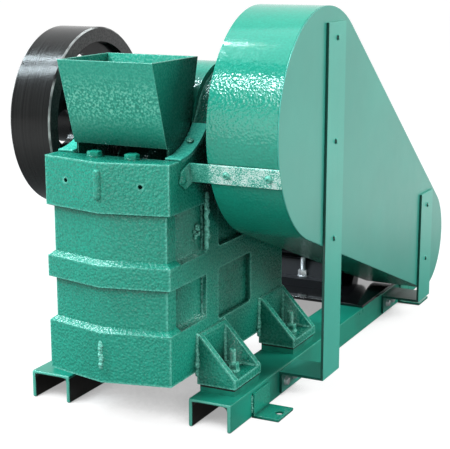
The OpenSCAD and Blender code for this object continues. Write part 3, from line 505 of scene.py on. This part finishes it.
def turned_black(paint):
    """Black flywheel: rim turned under a thin lacquer, worn at its corners, and web painted as cast."""
    made = Finish("turned_black", IOR=1.5, Specular_IOR_Level=0.22, Anisotropic=0.7)
    centred = made.add("ShaderNodeMapping", {"Vector": made.place, "Location": -AXLE}).outputs["Vector"]
    across_axle = {0: centred, 1: (0, 1, 1)}
    flat = made.add("ShaderNodeVectorMath", across_axle, operation="MULTIPLY")
    radius = made.length(flat.outputs["Vector"])
    rim = made.above(radius, WHEEL_RIM_IN)
    across = made.math("ADD", made.at("X"), radius)
    groove = made.blend(made.lines(across, 260, 3), made.lines(across, 1500), 0.6)
    metal = made.ramp(groove, (0.35, (0.007, 0.007, 0.007)), (0.7, (0.026, 0.025, 0.024)))
    cast = made.clouded(made.noise(60, 5), shade(paint.black, 0.5), shade(paint.black, 1.2))
    grey = made.ramp(made.noise(400, 3), (0.35, (0.03, 0.029, 0.03)), (0.65, (0.065, 0.062, 0.063)))
    coat = made.mix(made.times(made.faces("X", 0.9), rim), made.mix(rim, cast, metal), grey)
    from_middle = made.math("ABSOLUTE", made.math("SUBTRACT", made.at("X"), WHEEL_LOW.x + WHEEL_HALF))
    chamfer = WHEEL_R + WHEEL_HALF - WHEEL_EDGE - 0.2 * MM
    corner = made.above(made.math("ADD", from_middle, radius), chamfer)
    wear_and_glint = made.ramp(made.noise(28, 4), (0.42, (0.02, 0.02, 0.02)), (0.62, (0.5, 0.5, 0.49)))
    skin = made.relief(made.noise(300, 4), 0.15 * MM, 0.5)
    made.set(Base_Color=made.mix(corner, coat, wear_and_glint), Roughness=made.span(groove, 0.08, 0.24, 0.3, 0.7),
             Normal=made.relief(made.times(groove, rim), 0.05 * MM, 1.0, skin),
             Tangent=made.add("ShaderNodeTangent", direction_type="RADIAL", axis="X").outputs["Tangent"])
    return made


def black_paint(paint):
    """Satin black of the motor, the sheave and the pulley, with a fine grain."""
    made = Finish("black_paint", IOR=1.5, Specular_IOR_Level=0.22)
    grain = made.noise(70, 6)
    made.set(Base_Color=made.clouded(grain, shade(paint.black, 0.7), shade(paint.black, 1.8)),
             Roughness=made.span(grain, 0.25, 0.5),
             Normal=made.relief(made.noise(380, 4), 0.12 * MM, 0.7))
    return made


def plate_gloss(paint):
    """Black gloss paint on flat plate, slightly wavy."""
    made = Finish("plate_gloss", IOR=1.6, Coat_Weight=0.6, Coat_Roughness=0.05)
    grain = made.noise(30, 5)
    made.set(Base_Color=made.clouded(grain, shade(paint.black, 0.4), paint.black),
             Roughness=made.span(grain, 0.08, 0.2),
             Normal=made.relief(made.noise(140, 3), 0.1 * MM, 0.5))
    return made


def machined_steel(paint):
    """Shafts, rod and toggle: grey steel with turning lines and a film of oil."""
    made = Finish("machined_steel", Metallic=1.0)
    across = made.lines(made.at("X"), 900, 3)
    made.set(Base_Color=made.clouded(made.noise(45, 5), (0.2, 0.19, 0.18), (0.42, 0.42, 0.43)),
             Roughness=made.span(across, 0.22, 0.42),
             Normal=made.relief(across, 0.04 * MM))
    return made


def jaw_steel(paint):
    """Manganese steel of the jaws: dull and brownish, with long scratches down its ribs."""
    made = Finish("jaw_steel", Metallic=0.85)
    brown, dull, bright = (0.09, 0.07, 0.055), (0.2, 0.185, 0.17), (0.34, 0.33, 0.32)
    stretched = made.add("ShaderNodeMapping", {"Vector": made.place, "Scale": (1, 1, 0.12)}).outputs["Vector"]
    scratch = made.noise(420, 3, stretched)
    made.set(Base_Color=made.ramp(made.noise(38, 6), (0.3, brown), (0.52, dull), (0.72, bright)),
             Roughness=made.span(scratch, 0.3, 0.6, 0.3, 0.7),
             Normal=made.relief(scratch, 0.15 * MM, 0.6))
    return made


def bright_zinc(paint):
    """Zinc-plated fasteners with faint blue and yellow stains."""
    made = Finish("bright_zinc", Metallic=1.0)
    stain = made.noise(160, 4)
    made.set(Base_Color=made.clouded(stain, (0.5, 0.52, 0.55), (0.78, 0.77, 0.73)),
             Roughness=made.span(stain, 0.16, 0.34),
             Normal=made.relief(made.noise(900), 0.03 * MM))
    return made


def belt_rubber(paint):
    """Wrapped rubber belts with a cloth grain and dusty flanks."""
    made = Finish("belt_rubber", IOR=1.45)
    dust = made.noise(55, 5)
    made.set(Base_Color=made.ramp(dust, (0.3, (0.012, 0.012, 0.012)), (0.75, (0.045, 0.043, 0.04))),
             Roughness=made.span(dust, 0.6, 0.85),
             Normal=made.relief(made.cells(900), 0.12 * MM, 0.8))
    return made


def paint_nodes(maker, *names):
    """Gives the solids with these names a finish."""
    for name in names:
        NODES[name].material_slots[0].material = finish(maker)


def add_piece(name, bm, maker, smooth=35):
    """Makes a mesh object of the bmesh, with its finish, fixed to the machine's frame.

    Faces that meet at less than smooth degrees are shaded as one.
    """
    bmesh.ops.recalc_face_normals(bm, faces=bm.faces)
    mesh = bpy.data.meshes.new(name)
    bm.to_mesh(mesh)
    bm.free()
    mesh.materials.append(finish(maker))
    mesh.shade_smooth()
    mesh.set_sharp_from_angle(angle=math.radians(smooth))
    piece = bpy.data.objects.new(name, mesh)
    bpy.context.scene.collection.objects.link(piece)
    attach(piece, "frame")
    return piece


def round_edges(node, maker, radius, seams=()):
    """Stands a copy of a solid with rounded outer edges in for it.

    A seam is an axis and a place on it: the flat joint there with the next solid stays sharp.
    """
    bm = bmesh.new()
    bm.from_mesh(NODES[node].data)
    bmesh.ops.remove_doubles(bm, verts=bm.verts, dist=MERGE)
    bmesh.ops.dissolve_limit(bm, angle_limit=FLAT_ANGLE, verts=bm.verts, edges=bm.edges)
    sharp = [
        edge for edge in bm.edges
        if edge.is_manifold and edge.is_convex and edge.calc_face_angle() > SHARP_ANGLE
        and not any(all(abs(end.co[axis] - at) < SEAM_REACH for end in edge.verts) for axis, at in seams)
    ]
    bmesh.ops.bevel(bm, geom=sharp, offset=radius, affect="EDGES", segments=2, profile=0.5, material=-1,
                    clamp_overlap=True)
    piece = add_piece(f"rounded_{node}", bm, maker, 40)
    piece.modifiers.new("Flat faces", "WEIGHTED_NORMAL").keep_sharp = True
    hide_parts(node)


def placed(point, axis):
    """Matrix whose Z runs along the axis from the point."""
    return Matrix.Translation(point) @ Vector(axis).to_track_quat("Z", "Y").to_matrix().to_4x4()


def raised(place, height):
    """The same place farther along its own Z."""
    return place @ Matrix.Translation((0, 0, height))


def join(bm, part):
    """Moves what a smaller bmesh holds into this one."""
    mesh = bpy.data.meshes.new("joined")
    part.to_mesh(mesh)
    part.free()
    bm.from_mesh(mesh)
    bpy.data.meshes.remove(mesh)


def turn(bm, place, profile, steps=20):
    """Spins a profile of radii and heights about the place's Z."""
    part = bmesh.new()
    chain = [part.verts.new(place @ Vector((radius, 0, height))) for radius, height in profile]
    edges = [part.edges.new(pair) for pair in zip(chain, chain[1:])]
    bmesh.ops.spin(part, geom=chain + edges, cent=place.translation, axis=place.to_3x3() @ UP,
                   angle=math.tau, steps=steps, use_merge=True)
    bmesh.ops.remove_doubles(part, verts=part.verts, dist=0.001 * MM)
    join(bm, part)


def add_hexagon(bm, place, across, height):
    """Hexagon head or nut with a broken upper edge, seated at the place."""
    part = bmesh.new()
    radius = across / math.sqrt(3)
    bmesh.ops.create_cone(part, cap_ends=True, cap_tris=False, segments=6, radius1=radius, radius2=radius,
                          depth=height)
    rim = [edge for edge in part.edges if all(end.co.z > 0 for end in edge.verts)]
    bmesh.ops.bevel(part, geom=rim, offset=0.09 * across, affect="EDGES", segments=2, profile=0.5,
                    material=-1)
    bmesh.ops.transform(part, matrix=raised(place, height / 2), verts=part.verts)
    join(bm, part)


def add_washer(bm, place, radius, height):
    """Flat washer with a broken upper edge."""
    edge = 0.2 * height
    turn(bm, place, [(0, 0), (radius, 0), (radius, height - edge), (radius - edge, height), (0, height)], 24)


def add_thread(bm, place, radius, length):
    """Stud end with ridges for its thread and a chamfered tip."""
    pitch = 1.5 * MM
    ridge = 0.08 * radius
    profile = [(radius, 0)]
    for turn_at in range(int(length / pitch) - 1):
        profile += [(radius, (turn_at + 0.35) * pitch), (radius - ridge, (turn_at + 0.8) * pitch)]
    profile += [(radius - ridge, length - pitch), (radius - 2.2 * ridge, length), (0, length)]
    turn(bm, place, profile, 16)


def add_bolt(bm, point, axis, across, height=0.42):
    """Hexagon bolt on its washer, its head a share of its width high."""
    place = placed(point, axis)
    washer = 0.12 * across
    add_washer(bm, place, 0.62 * across, washer)
    add_hexagon(bm, raised(place, washer), across, height * across)


def add_stud(bm, point, sizes, length):
    """Upright stud: nut on a washer, with the stud's end above it."""
    place = placed(point, UP)
    washer = 0.14 * sizes.nut
    height = 0.6 * sizes.nut
    add_washer(bm, place, 0.66 * sizes.nut, washer)
    add_hexagon(bm, raised(place, washer), sizes.nut, height)
    add_thread(bm, raised(place, washer + height), sizes.stud / 2, length)


def add_screw(bm, point, axis, diameter, socket=0.26):
    """Round-headed screw with a socket of the given share of its head."""
    radius = diameter / 2
    height = 0.34 * diameter
    hole = socket * diameter
    angles = [math.radians(15 * step) for step in range(5)]
    dome = [(radius * math.cos(angle), height * math.sin(angle)) for angle in angles]
    profile = dome + [(hole, height * 0.97), (0.85 * hole, 0.35 * height), (0, 0.3 * height)]
    turn(bm, placed(point, axis), [(0, 0)] + profile)


def add_bead(bm, start, end, radius, draw):
    """Rippled weld bead between two points: overlapping drops of uneven size."""
    part = bmesh.new()
    start, end = Vector(start), Vector(end)
    drops = max(2, int((end - start).length / (0.8 * radius)))
    for drop in range(drops):
        size = radius * draw.uniform(0.8, 1.2)
        stray = Vector(draw.uniform(-0.2, 0.2) * radius for _ in range(3))
        at = Matrix.Translation(start.lerp(end, (drop + 0.5) / drops) + stray)
        bmesh.ops.create_uvsphere(part, u_segments=8, v_segments=6, radius=size, matrix=at)
    join(bm, part)


class CRUSHER_OT_castings(bpy.types.Operator):
    """Round the edges of the frame's walls, gussets and bearing housings and enamel them"""

    bl_idname = "crusher.castings"
    bl_label = "Frame castings"

    def execute(self, context):
        edge = context.scene.crusher_paint.cast_edge
        for node in ("front_wall", "left_side_wall", "right_side_wall"):
            round_edges(node, casting_enamel, edge, [(1, JOINT_Y)])
        for node in GUSSETS:
            round_edges(node, casting_enamel, 0.8 * edge, [(0, WALL_X), (0, -WALL_X)])
        for node in ("rear_wall", "left_bearing_housing", "right_bearing_housing"):
            round_edges(node, casting_enamel, 0.8 * edge)
        paint_nodes(casting_enamel, "swing_jaw")
        return {"FINISHED"}


class CRUSHER_OT_base(bpy.types.Operator):
    """Round the edges of the base channels and floor lugs and enamel them"""

    bl_idname = "crusher.base"
    bl_label = "Base channels"

    def execute(self, context):
        paint = context.scene.crusher_paint
        for node in ("left_base_channel", "right_base_channel"):
            round_edges(node, channel_enamel, paint.cast_edge)
        for node in LUGS:
            round_edges(node, rim_enamel, paint.sheet_edge)
        paint_nodes(pad_packing, "gusset_pads")
        return {"FINISHED"}


class CRUSHER_OT_sheets(bpy.types.Operator):
    """Round the edges of the hopper and the covers and enamel them"""

    bl_idname = "crusher.sheets"
    bl_label = "Hopper and covers"

    def execute(self, context):
        edge = context.scene.crusher_paint.sheet_edge
        round_edges("hopper", hopper_enamel, edge)
        for node in ("left_cover_strip", "right_cover_strip"):
            round_edges(node, strip_enamel, edge)
        round_edges("pitman_cover", rim_enamel, edge)
        return {"FINISHED"}


class CRUSHER_OT_guard(bpy.types.Operator):
    """Enamel the belt guard, its straps and its bar"""

    bl_idname = "crusher.guard"
    bl_label = "Belt guard"

    def execute(self, context):
        edge = context.scene.crusher_paint.sheet_edge
        round_edges("guard_face", face_enamel, edge)
        paint_nodes(rim_enamel, "guard_rim")
        for node in ("front_guard_strap", "rear_guard_strap"):
            round_edges(node, sheet_enamel, edge)
        round_edges("guard_bar", bar_enamel, edge)
        return {"FINISHED"}


class CRUSHER_OT_drive(bpy.types.Operator):
    """Finish the wheels, the belts and the shafts"""

    bl_idname = "crusher.drive"
    bl_label = "Wheels and belts"

    def execute(self, context):
        paint_nodes(turned_black, "flywheel")
        paint_nodes(black_paint, "sheave", "motor_pulley")
        paint_nodes(belt_rubber, "drive_belts")
        paint_nodes(machined_steel, "eccentric_shaft", "motor_shaft")
        return {"FINISHED"}


class CRUSHER_OT_jaws(bpy.types.Operator):
    """Finish the jaws and what holds them"""

    bl_idname = "crusher.jaws"
    bl_label = "Jaws and toggle"

    def execute(self, context):
        paint_nodes(jaw_steel, "fixed_jaw_plate", "swing_jaw_plate", "left_cheek_plate", "right_cheek_plate")
        paint_nodes(machined_steel, "toggle_plate", "tension_rod")
        paint_nodes(bright_zinc, "return_spring")
        return {"FINISHED"}


class CRUSHER_OT_motor(bpy.types.Operator):
    """Finish the motor and its plate"""

    bl_idname = "crusher.motor"
    bl_label = "Motor"

    def execute(self, context):
        edge = context.scene.crusher_paint.sheet_edge
        paint_nodes(black_paint, "motor_body", "motor_front_shield", "motor_fan_cowl")
        round_edges("terminal_box", black_paint, 1.5 * edge)
        round_edges("motor_plate", plate_gloss, edge)
        return {"FINISHED"}


class CRUSHER_OT_bolts(bpy.types.Operator):
    """Set the bolts of the frame, the gussets and the bearing housings"""

    bl_idname = "crusher.bolts"
    bl_label = "Frame bolts"

    top_x, top_y = 28.4 * MM, -427 * MM
    bearing_count = 6
    bearing_circle = 52 * MM
    flange_step = 5.6 * MM
    stud_length = 19 * MM

    def execute(self, context):
        sizes = context.scene.crusher_fasteners
        bm = bmesh.new()
        for x in (-self.top_x, self.top_x):
            add_bolt(bm, (x, self.top_y, FRAME_TOP), UP, sizes.bolt, 0.3)
        low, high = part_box("left_bearing_housing")[0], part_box("right_bearing_housing")[1]
        for outer, out in ((low.x + self.flange_step, -RIGHT), (high.x - self.flange_step, RIGHT)):
            for bolt in range(self.bearing_count):
                angle = math.tau * (bolt + 0.5) / self.bearing_count
                around = self.bearing_circle * Vector((0, math.cos(angle), math.sin(angle)))
                add_bolt(bm, Vector((outer, AXLE.y, AXLE.z)) + around, out, sizes.bearing_bolt)
        add_piece("frame_bolts", bm, rim_enamel)
        bm = bmesh.new()
        for node in GUSSETS:
            low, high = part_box(node)
            across = (BASE_X + CHANNEL_IN) / 2
            at = (across if low.x > 0 else -across, (low.y + high.y) / 2, low.z + GUSSET_FOOT)
            add_stud(bm, at, sizes, self.stud_length)
        add_piece("gusset_studs", bm, casting_enamel)
        return {"FINISHED"}


class CRUSHER_OT_guard_screws(bpy.types.Operator):
    """Set the screws of the cover strips and the guard's bar, and the bolts in its straps' feet"""

    bl_idname = "crusher.guard_screws"
    bl_label = "Guard screws"

    cover_x, cover_y, cover_z = 81 * MM, -367 * MM, 380.5 * MM
    cover_lean = (0, -0.35, 1)
    guard_radius, bar_radius = 157.6 * MM, 160.7 * MM
    bar_tilt = math.radians(18.5)
    bar_x = (146 * MM, 205 * MM)
    bar_thick = 3 * MM
    wall_y, wall_z = -415 * MM, 337 * MM
    foot_y = (-232 * MM, -202 * MM, 212 * MM, 238 * MM)
    foot_z = 20 * MM
    foot_thick = 4 * MM

    def execute(self, context):
        sizes = context.scene.crusher_fasteners
        bm = bmesh.new()
        for x in (self.cover_x, -self.cover_x):
            add_screw(bm, (x, self.cover_y, self.cover_z), self.cover_lean, 0.9 * sizes.screw)
        out = Vector((0, -math.cos(self.bar_tilt), -math.sin(self.bar_tilt)))
        centre = Vector((0, GUARD_LOW.y + self.guard_radius, GUARD_HIGH.z - self.guard_radius))
        for x in self.bar_x:
            add_screw(bm, centre + self.bar_radius * out + x * RIGHT, out, 1.1 * sizes.screw)
        at_wall = (WALL_X + self.bar_thick, self.wall_y, self.wall_z)
        add_screw(bm, at_wall, RIGHT, 1.2 * sizes.screw, 0.05)
        add_piece("cover_screws", bm, casting_enamel)
        bm = bmesh.new()
        for y in self.foot_y:
            add_bolt(bm, (BASE_X + self.foot_thick, y, self.foot_z), RIGHT, sizes.strap_bolt)
        add_piece("strap_foot_bolts", bm, bright_zinc)
        return {"FINISHED"}


class CRUSHER_OT_motor_studs(bpy.types.Operator):
    """Set the studs that hold the motor"""

    bl_idname = "crusher.motor_studs"
    bl_label = "Motor studs"

    stud_x = (-68 * MM, 15 * MM)
    stud_y = (180 * MM, 314 * MM)
    foot_top = CHANNEL_TOP + 19 * MM
    stud_length = 22 * MM

    def execute(self, context):
        sizes = context.scene.crusher_fasteners
        bm = bmesh.new()
        for x in self.stud_x:
            for y in self.stud_y:
                add_stud(bm, (x, y, self.foot_top), sizes, self.stud_length)
        add_piece("motor_studs", bm, bright_zinc)
        return {"FINISHED"}


class CRUSHER_OT_welds(bpy.types.Operator):
    """Lay the weld beads on the frame, the gussets and the lugs"""

    bl_idname = "crusher.welds"
    bl_label = "Weld beads"

    def execute(self, context):
        radius = context.scene.crusher_fasteners.bead
        draw = random.Random(7)
        bm = bmesh.new()
        self.weld_frame(bm, radius, draw)
        for node in GUSSETS:
            self.weld_gusset(bm, node, radius, draw)
        for node in LUGS:
            self.weld_lug(bm, node, radius, draw)
        # Much of each small bead takes the enamel's pale edge tone: partly worn enamel, partly a painted
        # highlight
        add_piece("weld_beads", bm, casting_enamel, smooth=80)
        return {"FINISHED"}

    @staticmethod
    def weld_frame(bm, radius, draw):
        """Bead on the prow's lower band, one down each side wall, and spatter in the right wall's pocket."""
        prow = WALL_LOW.y + 5.8 * MM
        add_bead(bm, (0, prow, 88 * MM), (0, prow, 123 * MM), 1.5 * radius, draw)
        for side in (1, -1):
            wall = side * (WALL_X + 0.5 * MM)
            add_bead(bm, (wall, -346 * MM, 308 * MM), (wall, -344 * MM, 232 * MM), 1.5 * radius, draw)
        spatter = Vector((WALL_X - 6 * MM, -363 * MM, 257 * MM))
        for _ in range(9):
            angle = draw.uniform(0, math.tau)
            reach = draw.uniform(4, 11) * MM
            at = spatter + reach * Vector((0, math.cos(angle), math.sin(angle)))
            add_bead(bm, at, at + Vector((0, 4 * MM, draw.uniform(-3, 3) * MM)), 0.8 * radius, draw)

    @staticmethod
    def weld_gusset(bm, node, radius, draw):
        """Beads down both sides of a gusset's back, and inside it along its back and its foot."""
        low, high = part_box(node)
        side = 1 if low.x > 0 else -1
        wall, back, outer = side * WALL_X, side * (WALL_X + 6 * MM), side * (BASE_X - 14 * MM)
        foot = low.z + GUSSET_FOOT
        cheek = 10 * MM
        for y in (low.y, high.y):
            add_bead(bm, (wall, y, high.z), (wall, y, foot), 1.1 * radius, draw)
            add_bead(bm, (wall, y, foot + 24 * MM), (wall, y, foot + 12 * MM), 1.8 * radius, draw)
        for y in (low.y + cheek, high.y - cheek):
            add_bead(bm, (back, y, high.z - 12 * MM), (back, y, foot), 0.9 * radius, draw)
            add_bead(bm, (back, y, foot), (outer, y, foot), 0.8 * radius, draw)

    @staticmethod
    def weld_lug(bm, node, radius, draw):
        """Beads up both ends of a lug, on the channel's side."""
        low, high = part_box(node)
        side = BASE_X if low.x > 0 else -BASE_X
        for y in (low.y, high.y):
            add_bead(bm, (side, y, high.z - 3 * MM), (side, y, 8 * MM), 0.8 * radius, draw)


class CRUSHER_OT_stage(bpy.types.Operator):
    """Set the floor, the even light, the lamps and the camera"""

    bl_idname = "crusher.stage"
    bl_label = "Studio"

    floor_half = 30
    floor_drop = 0.2 * MM
    shadow_reach = 0.4

    def execute(self, context):
        stage = context.scene.crusher_stage
        self.lay_floor(context.scene, stage)
        self.light_world(context.scene, stage)
        self.set_lamps(stage)
        lens = bpy.data.cameras.new("camera")
        lens.sensor_fit = "HORIZONTAL"
        lens.sensor_width = 36
        lens.lens = stage.lens
        camera = bpy.data.objects.new("camera", lens)
        context.scene.collection.objects.link(camera)
        camera.matrix_world = self.aimed(stage.camera, stage.target)
        context.scene.camera = camera
        context.scene.view_settings.view_transform = "Standard"
        return {"FINISHED"}

    @staticmethod
    def aimed(place, target):
        """Matrix that looks from the place at the target, upright."""
        look = Vector(target) - Vector(place)
        return Matrix.Translation(place) @ look.to_track_quat("-Z", "Y").to_matrix().to_4x4()

    def set_lamps(self, stage):
        """Large soft lamps round the machine, and small ones that shine on its rims."""
        front, middle, right = (0, -0.4, 0.3), (0.1, -0.3, 0.25), (0.2, 0, 0.3)
        ledges, guard, wheel = (0, -0.15, 0.2), (0.15, -0.25, 0.45), (WHEEL_LOW + WHEEL_HIGH) / 2
        self.add_lamp("key_lamp", (-0.1, -2.15, 1.55), front, (1, 0.7), stage.key)
        self.add_lamp("low_lamp", (-0.4, -2.3, 0.6), front, (1.1, 0.9), stage.low)
        self.add_lamp("fill_lamp", (1.9, -1.6, 0.9), middle, (0.8, 1), stage.fill)
        self.add_lamp("top_lamp", (-0.25, -0.45, 2.2), ledges, (1.5, 1.5), stage.top, stage.cool)
        self.add_lamp("rim_lamp", (-0.67, -1.78, 1.82), guard, (0.3, 0.14), stage.rim, stage.cool)
        self.add_lamp("side_lamp", (2.2, 0.75, 1.3), right, (1.5, 1.4), stage.side)
        self.add_lamp("high_strip", (-1.3, -0.57, 2.1), wheel, (0.06, 1.2), 0.9 * stage.strip, stage.cool)
        self.add_lamp("low_strip", (-1.3, -1.03, 1.95), wheel, (0.12, 1.2), stage.strip, stage.cool)

    def add_lamp(self, name, place, target, size, power, colour=(1, 1, 1)):
        """Makes a rectangular lamp that faces its target."""
        lamp = bpy.data.lights.new(name, "AREA")
        lamp.color = colour
        lamp.shape = "RECTANGLE"
        lamp.size, lamp.size_y = size
        lamp.energy = power
        lamp_object = bpy.data.objects.new(name, lamp)
        bpy.context.scene.collection.objects.link(lamp_object)
        lamp_object.matrix_world = self.aimed(place, target)

    def lay_floor(self, scene, stage):
        """Pale floor: white far off, with the object's soft shadow near it, and dark near it in gloss."""
        bm = bmesh.new()
        bmesh.ops.create_grid(bm, x_segments=1, y_segments=1, size=self.floor_half)
        mesh = bpy.data.meshes.new("floor")
        bm.to_mesh(mesh)
        bm.free()
        floor = bpy.data.objects.new("floor", mesh)
        floor.location.z = -self.floor_drop
        scene.collection.objects.link(floor)
        made = Finish("pale_floor", Base_Color=(stage.floor,) * 3, Roughness=0.9, Specular_IOR_Level=0,
                      Emission_Color=(1, 1, 1))
        straight, mirrored = made.rays()
        distance = made.length(made.place)
        open_sky = made.add("ShaderNodeAmbientOcclusion", {"Distance": self.shadow_reach}).outputs["AO"]
        shadow = made.fade(open_sky, 0.4, 1, 0.06, 0.24)
        seen = made.times(made.times(straight, made.fade(distance, 0.9, 0.97, 0.7, 2.4)), shadow)
        gloss = made.times(mirrored, made.fade(distance, 0.06, 0.8, 0.5, 1.3))
        made.set(Emission_Strength=made.math("ADD", seen, gloss))
        mesh.materials.append(made.material)

    @staticmethod
    def light_world(scene, stage):
        """White to the camera, dim as light, and in gloss dark at the front and white behind."""
        scene.world = bpy.data.worlds.new("studio")
        made = Graph(scene.world)
        straight, mirrored = made.rays()
        towards = made.axis("Y", made.add("ShaderNodeTexCoord").outputs["Generated"])
        gloss = made.times(mirrored, made.fade(towards, 0.12, 1, -0.5, 0.5))
        seen = made.math("MAXIMUM", straight, gloss)
        background = made.nodes["Background"].inputs
        made.put(background["Color"], (1, 1, 1))
        made.put(background["Strength"], made.math("MAXIMUM", seen, stage.ambient))


PIECES = (
    CRUSHER_OT_castings, CRUSHER_OT_base, CRUSHER_OT_sheets, CRUSHER_OT_guard, CRUSHER_OT_drive,
    CRUSHER_OT_jaws, CRUSHER_OT_motor, CRUSHER_OT_bolts, CRUSHER_OT_guard_screws, CRUSHER_OT_motor_studs,
    CRUSHER_OT_welds, CRUSHER_OT_stage,
)


class CRUSHER_PT_panel(bpy.types.Panel):
    """Sizes, colours and pieces of the crusher"""

    bl_idname = "CRUSHER_PT_panel"
    bl_label = "Jaw crusher"
    bl_space_type = "VIEW_3D"
    bl_region_type = "UI"
    bl_category = "Crusher"

    def draw(self, context):
        layout = self.layout
        for settings in SETTINGS:
            group = getattr(context.scene, settings)
            box = layout.box()
            for name in group.__annotations__:
                box.prop(group, name)
        for piece in PIECES:
            layout.operator(piece.bl_idname)


SETTINGS = {
    "crusher_paint": CrusherPaint,
    "crusher_fasteners": CrusherFasteners,
    "crusher_stage": CrusherStage,
}
CLASSES = (*SETTINGS.values(), *PIECES, CRUSHER_PT_panel)


def register():
    for cls in CLASSES:
        bpy.utils.register_class(cls)
    for name, group in SETTINGS.items():
        setattr(bpy.types.Scene, name, bpy.props.PointerProperty(type=group))


def unregister():
    for name in SETTINGS:
        delattr(bpy.types.Scene, name)
    for cls in reversed(CLASSES):
        bpy.utils.unregister_class(cls)


def main():
    register()
    for piece in PIECES:
        group, name = piece.bl_idname.split(".")
        getattr(getattr(bpy.ops, group), name)()


if __name__ == "__main__":
    main()
